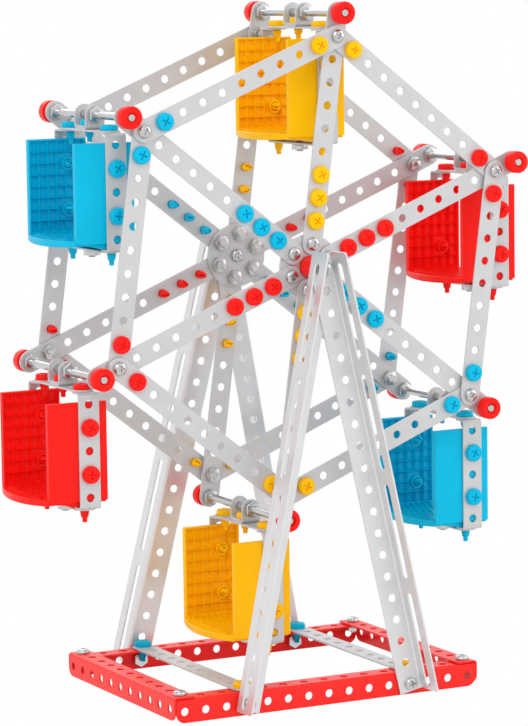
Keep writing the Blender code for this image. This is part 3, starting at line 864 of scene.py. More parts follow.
@dataclass
class SubAssembly:
    """What each sub-assembly is built with."""

    layout: Layout
    fasteners: Fasteners
    bench: Bench

    def strip(self, first: int, last: int) -> BMesh:
        """Punched strip along X from its first hole to its last."""
        lay = self.layout
        blank = Blank(lay.sheet)
        blank.round_ended(first * lay.pitch, last * lay.pitch, lay.strip_radius)
        for i in range(first, last + 1):
            blank.punch(i * lay.pitch, 0, lay.hole)
        blank.press()
        return blank.solid

    def unfolded(self, start: float, bend: float, flange: float) -> float:
        """Returns where a flange ends on the flat sheet, by where its bend starts."""
        return start + bend * QUARTER + flange - self.layout.sheet / 2 - bend


# Stand


@dataclass
class Base(SubAssembly):
    """Four red angle girders in a rectangle, their corner bolts, and two strips across."""

    flange: float = 12.7 * MM
    corner: float = 5.0 * MM
    bend: float = 1.3 * MM
    strip_reach: int = 5

    def girder(self, holes: int, length: float) -> BMesh:
        """Angle girder along X, with its outer face at height 0 and its flange folded inwards at the top.

        Args:
            holes: Number of holes in its web.
            length: Its length.

        Returns:
            The folded girder.
        """
        lay = self.layout
        half = length / 2
        start = lay.base_height - lay.sheet / 2 - self.bend
        reach = self.unfolded(start, self.bend, self.flange)
        blank = Blank(lay.sheet)
        blank.bow(self.corner, half - self.corner, self.corner, QUARTER, QUARTER, CORNER_STEPS)
        blank.bow(self.corner, self.corner - half, self.corner, math.pi, QUARTER, CORNER_STEPS)
        blank.bow(reach - self.bend, self.bend - half, self.bend, -QUARTER, QUARTER, SMALL_CORNER_STEPS)
        blank.bow(reach - self.bend, half - self.bend, self.bend, 0, QUARTER, SMALL_CORNER_STEPS)
        blank.close()
        all_along = length > 2 * lay.base_half(holes) - lay.gap
        for i in range(holes):
            y = (i - (holes - 1) / 2) * lay.pitch
            blank.punch(lay.base_below, y, lay.hole)
            if all_along or abs(y) < half - lay.pitch / 2:
                blank.punch(reach - self.flange + lay.pitch / 2, y, lay.hole)
        blank.press()
        blank.fold(start, self.bend, -QUARTER)
        blank.solid.transform(Matrix.Translation((0, 0, -lay.sheet)) @ Matrix.Rotation(QUARTER, 4, "Z"))
        return blank.solid

    def base_side(self, label: str, outward: Vector, at: Vector, holes: int, length: float) -> None:
        """Adds one girder.

        Args:
            label: Which side of the base it is.
            outward: Direction that its web faces.
            at: Place of the middle of its lower edge.
            holes: Number of holes in its web.
            length: Its length.
        """
        place = self.layout.stand @ along_outward(UP.cross(outward), outward, at)
        name, node = f"girder_{label}", f"base_girder_{label}"
        self.bench.piece(name, self.girder(holes, length), place, "red_enamel", "stand", node, even=True)

    def build(self) -> None:
        """Adds the girders, bolts and cross strips."""
        lay = self.layout
        long_half, short_half = lay.base_half(lay.long_holes), lay.base_half(lay.short_holes)
        for side in Side:
            at = side.outward * short_half
            self.base_side(side.label, side.outward, at, lay.long_holes, 2 * (long_half - lay.step))
        for label, sign in HANDS:
            outward = sign * ACROSS
            at = outward * long_half + UP * lay.step
            self.base_side(label, outward, at, lay.short_holes, 2 * short_half)
            self.corner_bolts(label, sign)
            self.cross_strip(label, sign)

    def corner_bolts(self, label: str, sign: int) -> None:
        """Adds the two bolts with their nuts at one end of the base."""
        lay, tools = self.layout, self.fasteners
        bolts = bmesh.new()
        top = lay.base_height + lay.step
        x = sign * (lay.base_half(lay.long_holes) - lay.pitch / 2)
        for end in ENDS:
            y = end * (lay.short_holes - 1) / 2 * lay.pitch
            stamp(bolts, tools.pan_head, Matrix.Translation((x, y, top)))
            under = Matrix.Translation((x, y, top - lay.sheet - lay.step))
            stamp(bolts, tools.nut_on_end, under @ TURNED_OVER)
        self.bench.piece(f"corner_bolts_{label}", bolts, lay.stand, "bright_steel", "stand")

    def cross_strip(self, label: str, sign: int) -> None:
        """Adds a strip across the base with its two plastic screws."""
        lay = self.layout
        at = Vector((sign * lay.foot_pitches * lay.pitch, 0, lay.base_height + lay.gap))
        place = lay.stand @ along_outward(BACK, UP, at)
        strip = self.strip(-self.strip_reach, self.strip_reach)
        node = f"base_cross_strip_{label}"
        self.bench.piece(f"cross_strip_{label}", strip, place, "strip_steel", "stand", node)
        for side, colour in zip(Side, (Colour.YELLOW, Colour.BLUE)):
            screw = bmesh.new()
            seat = place @ Matrix.Translation((side.sign * self.strip_reach * lay.pitch, 0, lay.sheet))
            self.fasteners.screw(screw, Matrix())
            self.bench.piece(f"cross_screw_{label}_{side.label}", screw, seat, colour.value, "stand")


@dataclass
class Legs(SubAssembly):
    """Four leaning angle girders with round holes in the web and long slots in the flange."""

    free: float = 7.3 * MM
    fold: float = 7.4 * MM
    flange: float = 19.0 * MM
    foot_margin: float = 4.4 * MM
    top_margin: float = 8.3 * MM
    top_radius: float = 5.0 * MM
    taper: float = 6.0 * MM
    slots: int = 4
    slot_spacing: int = 5
    slot_pitches: float = 4.35
    slot_width: float = 5.0 * MM
    bend: float = 1.7 * MM

    def girder(self, length: float, hand: int) -> BMesh:
        """Leg along Y from its foot hole, with its flange folded outwards on one side.

        Args:
            length: From the foot's hole to the axle's.
            hand: 1 where the fold is on the +X side, -1 where it is on the other.

        Returns:
            The folded leg.
        """
        lay = self.layout
        start = self.fold - lay.sheet / 2 - self.bend
        reach = self.unfolded(start, self.bend, self.flange)
        top, bend = length + self.top_margin, self.bend
        blank = Blank(lay.sheet)
        blank.corner(-self.free, -self.foot_margin)
        blank.bow(reach - bend, bend - self.foot_margin, bend, -QUARTER, QUARTER, SMALL_CORNER_STEPS)
        blank.bow(reach - bend, top - bend, bend, 0, QUARTER, SMALL_CORNER_STEPS)
        blank.corner(start + bend * QUARTER, top)
        blank.corner(start, length + self.top_radius)
        blank.bow(0, length, self.top_radius, QUARTER, QUARTER, CORNER_STEPS)
        blank.corner(-self.free, length - self.taper)
        blank.close()
        pitch = length / lay.leg_pitches
        for i in range(lay.leg_pitches + 1):
            blank.punch(0, i * pitch, lay.hole)
        for i in range(self.slots):
            middle = (lay.leg_pitches / 2 + (i - (self.slots - 1) / 2) * self.slot_spacing) * pitch
            half = self.slot_pitches * pitch / 2
            blank.slot(reach - self.flange / 2, middle - half, middle + half, self.slot_width)
        blank.press()
        blank.fold(start, self.bend, QUARTER)
        if hand < 0:
            bmesh.ops.scale(blank.solid, vec=(-1, 1, 1), verts=blank.solid.verts[:])
            bmesh.ops.reverse_faces(blank.solid, faces=blank.solid.faces[:])
        return blank.solid

    def build(self) -> None:
        """Adds the four legs with their foot bolts."""
        for side in Side:
            for label, sign in HANDS:
                self.leg(side, label, sign)

    def leg(self, side: Side, label: str, sign: int) -> None:
        """Adds one leg with its foot bolt.

        Args:
            side: The side of the wheel that it stands on.
            label: The hand of its foot.
            sign: The sign of its foot along X.
        """
        lay, tools = self.layout, self.fasteners
        clear = lay.gap + lay.base_above * math.tan(lay.lean(side))
        face = side.sign * (lay.base_half(lay.short_holes) + clear)
        foot = Vector((sign * lay.foot_pitches * lay.pitch, face, lay.base_below))
        over = sign != side.sign
        out = side.sign * (lay.leg_inner + over * lay.step)
        top = Vector((0, out - lay.forward, lay.hub_height))
        along = (top - foot).normalized()
        sideways = along.cross(side.outward).normalized()
        place = lay.stand @ along_outward(sideways, sideways.cross(along), foot)
        solid = self.girder((top - foot).length, 1 if sideways.x * sign > 0 else -1)
        name = f"leg_{side.label}_{label}"
        self.bench.piece(f"{name}_girder", solid, place, "leg_steel", "stand", name, even=True)
        bolt = bmesh.new()
        stamp(bolt, tools.pan_head, place @ Matrix.Translation((0, 0, lay.sheet)))
        inside = foot - side.outward * (clear + lay.step)
        level = lay.stand @ along_outward(UP.cross(side.outward), side.outward, inside)
        stamp(bolt, tools.nut_on_end, level @ TURNED_OVER)
        self.bench.piece(f"{name}_bolt", bolt, Matrix(), "bright_steel", "stand")


@dataclass
class Axle(SubAssembly):
    """The short bolt and the spacer that carry the wheel on each side."""

    spacer_radius: float = 6.2 * MM
    spacer_sides: int = 32
    bore: float = 2.3 * MM
    soft: float = 0.4 * MM

    def build(self) -> None:
        """Adds both bolts with their nuts, and both spacers."""
        lay, tools = self.layout, self.fasteners
        for side in Side:
            label, steep = side.label, math.tan(lay.lean(side))
            place = lay.stand @ along_outward(ACROSS, side.outward, lay.axle)
            head = lay.disc_inner - lay.gap
            nut = lay.leg_inner + 2 * lay.step + tools.nut_radius * steep
            bolt = tools.threaded(head, nut + tools.nut_height + tools.bolt_end)
            stamp(bolt, tools.nut, Matrix.Translation((0, 0, nut)))
            stamp(bolt, tools.pan_head, Matrix.Translation((0, 0, head)) @ TURNED_OVER)
            self.bench.piece(f"axle_{label}", bolt, place, "bright_steel", "stand", f"axle_bolt_{label}")
            low, high = lay.layer(1), lay.leg_inner - lay.gap - self.spacer_radius * steep
            out, soft = self.spacer_radius, self.soft
            profile = (
                (self.bore, low), (out - soft, low), (out, low + soft),
                (out, high - soft), (out - soft, high), (self.bore, high),
            )
            ring, node = lathe(profile, self.spacer_sides), f"axle_spacer_{label}"
            self.bench.piece(f"spacer_{label}", ring, place, Colour.RED.value, "stand", node)


# Wheel


@dataclass
class Wheel(SubAssembly):
    """Two frames, each of a hub disc, six spokes and six rim strips, with their screws and bolts."""

    strip_holes: int = 11
    disc_radius: float = 18.15 * MM
    disc_sides: int = 48
    hub_hole: int = 1
    screw_holes: tuple[int, ...] = (2, 3, 4)
    rim_hole: int = 10
    rim_reach: int = 5
    rim_screw_hole: int = 4
    rim_labels: tuple[str, ...] = ("top_right", "right", "bottom_right", "bottom_left", "left", "top_left")
    screw_turn: float = 1.3
    rim_screw_turn: float = 0.4
    rim_bolt_turn: float = 0.7

    def seat(self, x: float, y: float = 0.0) -> Matrix:
        """Place of a fastener on a strip's outer face."""
        return Matrix.Translation((x, y, self.layout.sheet))

    def inner_seat(self, x: float, y: float = 0.0) -> Matrix:
        """Place of a fastener on a strip's inner face."""
        return Matrix.Translation((x, y, 0)) @ TURNED_OVER

    def build(self) -> None:
        """Adds both frames."""
        for side in Side:
            self.disc(side)
            for arm in Arm:
                self.spoke(side, arm)
                self.rim(side, arm)

    def disc(self, side: Side) -> None:
        """Adds a hub disc with the nuts of the hub bolts on its inner face."""
        lay = self.layout
        place = lay.wheel @ along_outward(UP, side.outward, side.outward * lay.disc_inner)
        blank = Blank(lay.sheet)
        steps = self.disc_sides - 1
        blank.bow(0, 0, self.disc_radius, 0, math.tau * steps / self.disc_sides, steps)
        blank.close()
        blank.punch(0, 0, lay.hole)
        blank.press()
        node = f"hub_disc_{side.label}"
        self.bench.piece(f"disc_{side.label}", blank.solid, place, "strip_steel", "wheel", node)
        nuts = bmesh.new()
        for arm in Arm:
            angle = math.tau * arm.place / len(Arm)
            at = self.inner_seat(lay.pitch * math.cos(angle), lay.pitch * math.sin(angle))
            stamp(nuts, self.fasteners.nut_on_end, at @ Matrix.Rotation(angle, 4, "Z"))
        self.bench.piece(f"disc_nuts_{side.label}", nuts, place, "bright_steel", "wheel")

    def spoke(self, side: Side, arm: Arm) -> None:
        """Adds a spoke with its screws, hub bolt and the nut of its rim bolt."""
        lay, tools = self.layout, self.fasteners
        angle = math.tau * arm.place / len(Arm)
        place = lay.wheel @ along_outward(radial(angle), side.outward, side.outward * lay.layer(1))
        name = f"spoke_{side.label}_{arm.label}"
        strip = self.strip(self.hub_hole, self.strip_holes)
        self.bench.piece(f"{name}_strip", strip, place, "strip_steel", "wheel", name)
        screws = bmesh.new()
        for i in self.screw_holes:
            turn = Matrix.Rotation(i * self.screw_turn + arm.place, 4, "Z")
            tools.screw(screws, self.seat(i * lay.pitch) @ turn)
        self.bench.piece(f"{name}_screws", screws, place, arm.colour.value, "wheel")
        steel = bmesh.new()
        hub_seat = self.seat(self.hub_hole * lay.pitch)
        stamp(steel, tools.pan_head, hub_seat @ Matrix.Rotation(arm.place, 4, "Z"))
        stamp(steel, tools.nut_on_end, self.inner_seat(self.rim_hole * lay.pitch))
        self.bench.piece(f"{name}_fixings", steel, place, "bright_steel", "wheel")

    def rim(self, side: Side, arm: Arm) -> None:
        """Adds the rim strip from an arm to the next, its screws, and the corner bolts if it is outermost."""
        lay, tools = self.layout, self.fasteners
        middle = math.tau * (arm.place + 0.5) / len(Arm)
        outermost = arm.place % 2
        distance = self.rim_hole * lay.pitch * math.cos(math.pi / len(Arm))
        at = side.outward * lay.layer(2 + outermost) + radial(middle) * distance
        place = lay.wheel @ along_outward(radial(middle + QUARTER), side.outward, at)
        name = f"rim_{side.label}_{self.rim_labels[arm.place]}"
        strip = self.strip(-self.rim_reach, self.rim_reach)
        self.bench.piece(f"{name}_strip", strip, place, "strip_steel", "wheel", name)
        for label, end, colour in (("first", -1, arm.colour), ("last", 1, arm.following().colour)):
            screw = bmesh.new()
            turn = Matrix.Rotation(self.rim_screw_turn + arm.place, 4, "Z")
            tools.screw(screw, self.seat(end * self.rim_screw_hole * lay.pitch) @ turn)
            self.bench.piece(f"{name}_screw_{label}", screw, place, colour.value, "wheel")
        if outermost:
            bolts = bmesh.new()
            for end in ENDS:
                turn = Matrix.Rotation(self.rim_bolt_turn, 4, "Z")
                stamp(bolts, tools.pan_head, self.seat(end * self.rim_reach * lay.pitch) @ turn)
            self.bench.piece(f"{name}_bolts", bolts, place, "bright_steel", "wheel")


# Gondolas


@dataclass
class Rods(SubAssembly):
    """Smooth rods across the wheel with red end caps and nuts."""

    cap_radius: float = 6.2 * MM
    cap_length: float = 6.35 * MM
    cap_outer: float = 55.2 * MM
    cap_soft: float = 0.9 * MM
    cap_rim_share: float = 0.3
    radius: float = 2.2 * MM
    soft: float = 0.4 * MM
    bore: float = 2.25 * MM
    mouth: float = 3.0 * MM
    mouth_depth: float = 1.4 * MM
    recess: float = 0.8 * MM
    sides: int = 32

    def cap(self) -> BMesh:
        """End cap on Z, open at its inner end and with a shallow mouth in its outer one."""
        low, high, out = self.cap_outer - self.cap_length, self.cap_outer, self.cap_radius
        half, soft, rim = self.cap_soft / 2, self.cap_soft, self.cap_soft * self.cap_rim_share
        profile = (
            (self.bore, low), (out - half, low), (out, low + half),
            (out, high - soft), (out - rim, high - rim), (out - soft, high),
            (self.mouth + self.soft, high), (self.mouth, high - self.soft),
            (self.mouth, high - self.mouth_depth), (self.bore, high - self.mouth_depth),
        )
        return lathe(profile, self.sides)

    def build(self) -> None:
        """Adds the six rods."""
        lay, tools = self.layout, self.fasteners
        end, thin = self.cap_outer - self.recess, self.radius - self.soft
        half = [(self.radius, end - self.soft), (thin, end), (0, end)]
        on_disc = lay.layer(1) - lay.gap - tools.nut_height
        on_bracket = -self.layout.bracket_spacing / 2 - lay.sheet / 2 - lay.gap - tools.nut_height
        for arm in Arm:
            place = lay.rod(arm) @ along_outward(ACROSS, BACK)
            rod = lathe([(out, -along) for out, along in reversed(half)] + half, self.sides)
            for low in (on_disc, on_bracket):
                stamp(rod, tools.nut, Matrix.Translation((0, 0, low)))
            node = f"rod_{arm.label}"
            self.bench.piece(f"{node}_bar", rod, place, "bright_steel", "wheel", node)
            for side in Side:
                turned = place if side is Side.BACK else place @ TURNED_OVER
                name = f"rod_cap_{side.label}_{arm.label}"
                self.bench.piece(name, self.cap(), turned, Colour.RED.value, "wheel")


@dataclass
class Hangers(SubAssembly):
    """The metal frame of a gondola: side straps with folded ends, top and bottom strip and two brackets."""

    half: float = 33.7 * MM
    folded: float = 12.7 * MM
    strip_half: float = 31.4 * MM
    end_hole: int = 2
    screw_holes: tuple[int, ...] = (1, 3)
    bracket_width: float = 11.4 * MM
    bend: float = 1.3 * MM

    def strap(self) -> BMesh:
        """Side strap on the back side, with its ends folded inwards."""
        lay = self.layout
        start = (lay.hanger_height - 2 * self.bend - lay.sheet) / 2
        centre = self.unfolded(start, self.bend, self.folded) - lay.strip_radius
        blank = Blank(lay.sheet)
        blank.round_ended(-centre, centre, lay.strip_radius)
        for i in range(-self.end_hole, self.end_hole + 1):
            blank.punch(i * lay.pitch, 0, lay.hole)
        for end in ENDS:
            blank.punch(end * centre, 0, lay.hole)
        blank.press()
        blank.fold(start, self.bend, QUARTER)
        blank.solid.transform(Matrix.Rotation(math.pi, 4, "Z"))
        blank.fold(start, self.bend, QUARTER)
        middle = Vector((0, self.half, -lay.hanger_top - lay.hanger_height / 2))
        blank.solid.transform(along_outward(-UP, -BACK, middle))
        return blank.solid

    def flat_strip(self, low: float) -> BMesh:
        """Strip along Y at a height, with the hole pattern of a five-hole strip."""
        lay = self.layout
        blank = Blank(lay.sheet)
        centre = self.strip_half - lay.strip_radius
        blank.round_ended(-centre, centre, lay.strip_radius)
        for i in range(-self.end_hole, self.end_hole + 1):
            blank.punch(i * lay.pitch, 0, lay.hole)
        blank.press()
        blank.solid.transform(along_outward(BACK, UP, Vector((0, 0, low))))
        return blank.solid

    def bracket(self, sign: int, low: float) -> BMesh:
        """Angle bracket with its foot on the top strip and a round-topped upright that carries the rod.

        Args:
            sign: Which way along Y its upright lies.
            low: Height of its foot.

        Returns:
            The folded bracket.
        """
        lay = self.layout
        radius = self.bracket_width / 2
        start = lay.bracket_spacing / 2 - self.bend
        axis = start + self.bend * QUARTER - low - lay.sheet / 2 - self.bend
        blank = Blank(lay.sheet)
        blank.corner(-radius, -radius)
        blank.bow(axis, 0, radius, -QUARTER, math.pi)
        blank.corner(-radius, radius)
        blank.close()
        for x in (0, axis):
            blank.punch(x, 0, lay.hole)
        blank.press()
        blank.fold(start, self.bend, QUARTER)
        blank.solid.transform(along_outward(sign * BACK, UP, Vector((0, 0, low))))
        return blank.solid

    def build(self) -> None:
        """Adds the six hangers with their screws."""
        for arm in Arm:
            self.frame(arm)
            self.screws(arm)

    def frame(self, arm: Arm) -> None:
        """Adds the metal of one hanger."""
        sheet, top = self.layout.sheet, -self.layout.hanger_top
        steel = self.strap()
        join(steel, self.strap(), Matrix.Rotation(math.pi, 4, "Z"))
        for low in (top, -self.layout.hanger_foot - sheet):
            join(steel, self.flat_strip(low))
        for sign, low in ((-1, top + sheet), (1, top + 2 * sheet)):
            join(steel, self.bracket(sign, low))
        name, body, node = f"hanger_frame_{arm.label}", f"gondola_{arm.label}", f"hanger_{arm.label}"
        self.bench.piece(name, steel, self.layout.rod(arm), "strip_steel", body, node, even=True)

    def screws(self, arm: Arm) -> None:
        """Adds the plastic screws of one hanger."""
        lay, tools = self.layout, self.fasteners
        screws = bmesh.new()
        for side in Side:
            turn = along_outward(ACROSS, side.outward)
            for number in self.screw_holes:
                at = turn @ Matrix.Translation((0, side.sign * lay.hole_depth(number), self.half))
                tools.screw(screws, at @ Matrix.Rotation(number, 4, "Z"))
            along = side.sign * self.end_hole * lay.pitch
            for height in (lay.sheet - lay.hanger_top, lay.sheet - lay.hanger_foot):
                tools.screw(screws, Matrix.Translation((0, along, height)))
        tools.screw(screws, Matrix.Translation((0, 0, 3 * lay.sheet - lay.hanger_top)))
        name = f"hanger_screws_{arm.label}"
        self.bench.piece(name, screws, lay.rod(arm), arm.colour.value, f"gondola_{arm.label}")


@dataclass
class Seats(SubAssembly):
    """Moulded seats: two walls with a waffle inner face on a treaded floor with a rounded step."""

    half: float = 32.4 * MM
    top: float = 14.0 * MM
    bottom: float = 67.8 * MM
    wall: float = 3.0 * MM
    open_end: float = 10.8 * MM
    step_end: float = 23.7 * MM
    step: float = 6.8 * MM
    step_drop: float = 0.9 * MM
    step_steps: int = 24
    columns: int = 6
    rows: int = 8
    rib: float = 1.9 * MM
    margin: float = 0.9 * MM
    margin_below: float = 2.6 * MM
    floor_top: float = 66.0 * MM
    floor_edge: float = 0.4 * MM
    pocket: float = 2.5 * MM
    boss: float = 3.6 * MM
    boss_sides: int = 20
    boss_column: int = 5
    boss_rows: tuple[int, ...] = (3, 7)
    boss_holes: tuple[int, ...] = (1, 3)
    bore: float = 2.7 * MM
    soft: float = 0.2 * MM
    soft_least: float = math.radians(50)
    tread_spacing: float = 3.9 * MM
    tread: float = 1.6 * MM
    tread_height: float = 0.8 * MM
    tread_swing: float = 1.5 * MM
    tread_run: float = 5.0 * MM
    hull_bottom: float = 71.0 * MM
    hull_inset: float = 2.0 * MM

    def waffle_lines(self, count: int, size: float, low: float) -> list[float]:
        """Places of the lines between the pockets and at the wall's edges, from its middle.

        Args:
            count: Number of pockets.
            size: Length of the wall.
            low: Width of the margin at the lower edge.

        Returns:
            The places, from the lower edge to the upper one.
        """
        across = size - low - self.margin
        between = [low - size / 2 + i / count * across for i in range(count + 1)]
        return [-size / 2, *between, size / 2]

    def wall_slab(self) -> BMesh:
        """Wall in X and Y, centred, with its inner face at height 0 and a waffle of square pockets in it.

        Four pockets become one round each of the two screws, and a boss stands in it.

        Returns:
            The wall.
        """
        columns = self.waffle_lines(self.columns, self.open_end + self.step_end, self.margin)
        rows = self.waffle_lines(self.rows, self.bottom - self.top, self.margin_below)
        wide, high = len(columns) - 1, len(rows) - 1
        solid = bmesh.new()
        bmesh.ops.create_grid(solid, x_segments=wide, y_segments=high, size=0.5)
        for vertex in solid.verts:
            vertex.co.x = columns[round((vertex.co.x + 0.5) * wide)]
            vertex.co.y = rows[round((vertex.co.y + 0.5) * high)]
        chosen = [
            vertex
            for vertex in solid.verts
            for row in self.boss_rows
            if math.hypot(vertex.co.x - columns[self.boss_column], vertex.co.y - rows[row]) < self.soft
        ]
        bmesh.ops.dissolve_verts(solid, verts=chosen)
        pockets = []
        for face in solid.faces:
            centre = face.calc_center_median()
            if columns[1] < centre.x < columns[-2] and rows[1] < centre.y < rows[-2]:
                pockets.append(face)
        extruded(solid, solid.faces, -self.wall, keep=True)
        bmesh.ops.recalc_face_normals(solid, faces=solid.faces[:])
        bmesh.ops.inset_individual(solid, faces=pockets, thickness=self.rib / 2, depth=0)
        sunk = list({vertex for face in pockets for vertex in face.verts})
        bmesh.ops.translate(solid, vec=(0, 0, -self.pocket), verts=sunk)
        under = {face for face in solid.faces if face.normal.z < -0.5}
        inner = [edge for edge in solid.edges if len(edge.link_faces) == 2]
        seams = [edge for edge in inner if under.issuperset(edge.link_faces)]
        bmesh.ops.dissolve_edges(solid, edges=seams, use_verts=True)
        low = -self.pocket - self.soft
        ring = ((self.bore, low), (self.boss, low), (self.boss, 0.0), (self.bore, 0.0))
        boss = as_mesh("boss", lathe(ring, self.boss_sides))
        for hole in self.boss_holes:
            drop = self.layout.hole_depth(hole)
            at = ((self.step_end - self.open_end) / 2, (self.top + self.bottom) / 2 - drop, 0)
            stamp(solid, boss, Matrix.Translation(at))
        return solid

    def bulge(self, edge: float) -> Point:
        """Returns the centre and the radius of the step's rounded edge, moved inwards by a margin."""
        radius = (self.half**2 + self.step**2) / (2 * self.step)
        return radius - self.step_end - self.step, radius - edge

    def floor_slab(self) -> BMesh:
        """Floor with its upper face at height 0, a step whose rim is deepest in the middle, and treads."""
        middle, radius = self.bulge(0.0)
        reach = math.asin(self.half / radius)
        inner, end = self.half - self.wall / 2, self.open_end - self.soft
        blank = Blank(self.wall, self.floor_edge)
        blank.corner(end, -inner)
        blank.corner(end, inner)
        blank.corner(-self.step_end, inner)
        blank.bow(middle, 0, radius, math.pi - reach, 2 * reach, self.step_steps)
        blank.corner(-self.step_end, -inner)
        blank.close()
        blank.press()
        solid = blank.solid
        solid.verts.layers.float_vector.remove(solid.verts.layers.float_vector[FLAT_PLACE])
        solid.transform(Matrix.Translation((0, 0, -self.wall)))
        cut_across(solid, -self.step_end)
        for vertex in solid.verts:
            if vertex.co.x < -self.step_end - self.soft and vertex.co.z < -self.wall / 2:
                vertex.co.z -= self.step_drop * (1 - (vertex.co.y / self.half) ** 2)
        middle, radius = self.bulge(self.tread)
        side, depth = self.half - self.wall, self.open_end + self.step_end + self.step
        for i in range(1, int(depth / self.tread_spacing) + 1):
            x = self.open_end - i * self.tread_spacing
            far = x - self.tread_swing - middle
            if abs(far) < radius:
                self.zigzag(solid, x, min(side, math.sqrt(radius**2 - far**2)))
        return solid

    def zigzag(self, solid: BMesh, x: float, side: float) -> None:
        """Adds one raised zigzag tread across the floor.

        Args:
            solid: The floor.
            x: Place of the tread.
            side: Half its length.
        """
        count = max(2, 2 * round(side / self.tread_run))
        line = [(x - self.tread_swing * (i % 2), (2 * i / count - 1) * side) for i in range(count + 1)]
        loop = [(u + self.tread, v) for u, v in line] + line[::-1]
        flat = solid.faces.new([solid.verts.new((u, v, -self.soft)) for u, v in loop])
        lifted = extruded(solid, [flat], self.soft + self.tread_height, keep=True)
        sides = {face for vertex in lifted for face in vertex.link_faces}
        bmesh.ops.recalc_face_normals(solid, faces=[*sides, flat])

    def hull(self) -> BMesh:
        """Tapered underside between the floor and the hanger's bottom strip."""
        solid = block((1, 1, 1))
        foot = self.layout.strip_radius
        for vertex in solid.verts:
            left, upper = vertex.co.x < 0, vertex.co.z > 0
            out = self.half - (self.wall / 2 if upper else self.hull_inset)
            x = (self.soft - self.step_end if left else foot) if upper else math.copysign(foot, vertex.co.x)
            z = -self.bottom if upper else -self.hull_bottom
            vertex.co = (x, math.copysign(out, vertex.co.y), z)
        return solid

    def build(self) -> None:
        """Adds the six seats and the bolts in their floors."""
        for arm in Arm:
            self.seat(arm)
            self.floor_bolt(arm)

    def seat(self, arm: Arm) -> None:
        """Adds one seat."""
        middle_x, middle_z = (self.open_end - self.step_end) / 2, -(self.bottom + self.top) / 2
        inner_face = Matrix.Translation((middle_x, self.half - self.wall, middle_z))
        upright = inner_face @ Matrix.Rotation(QUARTER, 4, "X")
        wall = as_mesh("wall", self.wall_slab())
        body = bmesh.new()
        stamp(body, wall, Matrix.Diagonal((1, -1, 1, 1)) @ upright)
        bmesh.ops.reverse_faces(body, faces=body.faces[:])
        stamp(body, wall, upright)
        join(body, self.floor_slab(), Matrix.Translation((0, 0, -self.floor_top)))
        join(body, self.hull())
        name, node = f"moulded_seat_{arm.label}", f"seat_{arm.label}"
        place = self.layout.rod(arm)
        piece = self.bench.piece(name, body, place, arm.colour.value, f"gondola_{arm.label}", node)
        rounding = piece.modifiers.new("soft_edges", "BEVEL")
        rounding.width = self.soft
        rounding.segments = 2
        rounding.limit_method = "ANGLE"
        rounding.angle_limit = self.soft_least

    def floor_bolt(self, arm: Arm) -> None:
        """Adds the bolt through one seat's floor and its hanger."""
        lay, tools = self.layout, self.fasteners
        nut = -lay.hanger_foot - lay.sheet - tools.nut_height
        bolt = tools.threaded(nut - tools.bolt_end, -self.floor_top)
        stamp(bolt, tools.pan_head, Matrix.Translation((0, 0, lay.gap - self.floor_top)))
        stamp(bolt, tools.nut, Matrix.Translation((0, 0, nut)))
        name, body = f"floor_bolt_{arm.label}", f"gondola_{arm.label}"
        self.bench.piece(name, bolt, lay.rod(arm), "bright_steel", body)


# Studio


@dataclass(frozen=True)
class Lamp:
    """A square soft lamp that faces the wheel."""

    name: str
    at: tuple[float, float, float]
    size: float
    power: float


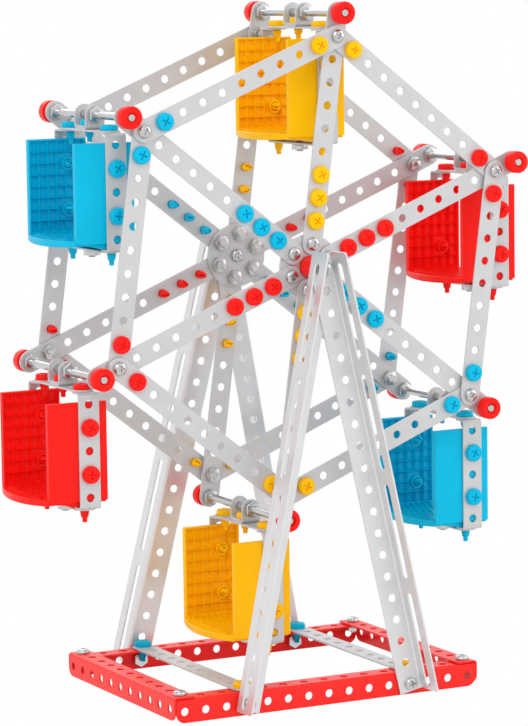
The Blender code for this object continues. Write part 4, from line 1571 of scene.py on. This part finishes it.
@dataclass
class Studio:
    """Camera, floor, world and lamps."""

    layout: Layout
    lens: float = 161.27
    sensor: float = 36.0
    clip_end: float = 100.0
    place: tuple[float, float, float] = (-66.2855, -127.6153, 12.7302)
    azimuth: float = 0.478225
    elevation: float = 0.119963
    roll: float = -0.014026
    world_light: float = 0.97
    floor_size: float = 8.0
    floor_color: tuple[float, ...] = (0.92, 0.92, 0.92, 1)
    floor_roughness: float = 0.9
    floor_gloss: float = 0.0
    lamps: tuple[Lamp, ...] = (
        Lamp("key", (-1.3, -1.5, 1.7), 1.2, 13.0),
        Lamp("fill", (1.6, -1.0, 0.9), 1.4, 6.5),
        Lamp("back", (0.3, 1.6, 1.5), 1.4, 7.0),
    )

    def camera(self) -> None:
        """Adds the camera that was fitted to the photograph's holes, with its place in hole spacings."""
        lay = self.layout
        level = Vector((math.sin(self.azimuth), math.cos(self.azimuth), 0))
        forward = level * math.cos(self.elevation) - UP * math.sin(self.elevation)
        right = level.cross(UP)
        rolled = right * math.cos(self.roll) + right.cross(forward) * math.sin(self.roll)
        turn = Matrix((rolled, rolled.cross(forward), -forward)).transposed()
        data = bpy.data.cameras.new("camera")
        data.lens = self.lens
        data.sensor_width = self.sensor
        data.clip_end = self.clip_end
        camera = added("camera", data)
        at = lay.origin + Vector(self.place) * lay.pitch + UP * lay.hub_height
        camera.matrix_world = Matrix.Translation(at) @ turn.to_4x4()
        bpy.context.scene.camera = camera

    def white_for_view(
        self, sketch: Sketch, plain: bpy.types.NodeSocket, white: bpy.types.NodeSocket
    ) -> bpy.types.NodeSocket:
        """Puts a white shader in a plain one's place for what the camera and reflections see.

        Args:
            sketch: The sketch of the node tree.
            plain: The shader that lights the object.
            white: The shader that is seen.

        Returns:
            The mixed shader.
        """
        rays = sketch.node("ShaderNodeLightPath").outputs
        seen = sketch.math("MAXIMUM", rays["Is Camera Ray"], rays["Is Glossy Ray"])
        mix = sketch.node("ShaderNodeMixShader")
        sketch.feed(mix.inputs[0], sketch.math("MAXIMUM", seen, rays["Is Transmission Ray"]))
        sketch.feed(mix.inputs[1], plain)
        sketch.feed(mix.inputs[2], white)
        return mix.outputs[0]

    def world(self) -> None:
        """Makes a soft white world."""
        world = bpy.data.worlds.new("studio")
        world.use_nodes = True
        bpy.context.scene.world = world
        nodes = world.node_tree.nodes
        sketch = Sketch(world.node_tree)
        sketch.fill(nodes["Background"], Color=WHITE, Strength=self.world_light)
        white = sketch.node("ShaderNodeBackground", Color=WHITE, Strength=1.0)
        mixed = self.white_for_view(sketch, nodes["Background"].outputs[0], white.outputs[0])
        sketch.fill(nodes["World Output"], Surface=mixed)

    def floor(self) -> None:
        """Adds a pale floor that throws light up and is seen as the photo's plain white."""
        solid = bmesh.new()
        bmesh.ops.create_grid(solid, x_segments=1, y_segments=1, size=self.floor_size)
        floor = added("floor", as_mesh("floor", solid))
        material, sketch, shader = plain_material("pale_floor")
        sketch.fill(
            shader, Base_Color=self.floor_color, Roughness=self.floor_roughness,
            Specular_IOR_Level=self.floor_gloss,
        )
        white = sketch.node("ShaderNodeEmission", Color=WHITE, Strength=1.0)
        mixed = self.white_for_view(sketch, shader.outputs[0], white.outputs[0])
        sketch.fill(sketch.tree.nodes["Material Output"], Surface=mixed)
        floor.data.materials.append(material)

    def light(self, lamp: Lamp) -> None:
        """Adds a lamp."""
        data = bpy.data.lights.new(lamp.name, "AREA")
        data.size = lamp.size
        data.energy = lamp.power
        at = Vector(lamp.at)
        to_wheel = self.layout.origin + self.layout.axle - at
        turn = to_wheel.to_track_quat("-Z", "Y").to_matrix().to_4x4()
        added(lamp.name, data).matrix_world = Matrix.Translation(at) @ turn

    def build(self) -> None:
        """Sets up the whole studio."""
        bpy.context.scene.view_settings.view_transform = "Standard"
        self.camera()
        self.world()
        self.floor()
        for lamp in self.lamps:
            self.light(lamp)


def main() -> None:
    """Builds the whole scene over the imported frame."""
    logging.basicConfig(level=logging.INFO, format="%(message)s")
    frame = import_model()
    spin = next(joint for joint in frame["joints"] if joint["name"] == "wheel_spin")
    layout = Layout(Vector(spin["pos_m"]) - Layout(Vector()).axle)
    Studio(layout).build()
    shelf = GroupShelf()
    bench = Bench({finish.slot: finish.build(shelf) for finish in FINISHES})
    fasteners = Fasteners()
    for part in (Base, Legs, Axle, Wheel, Rods, Hangers, Seats):
        part(layout, fasteners, bench).build()
    LOG.info("%d pieces", bench.made)


if __name__ == "__main__":
    main()
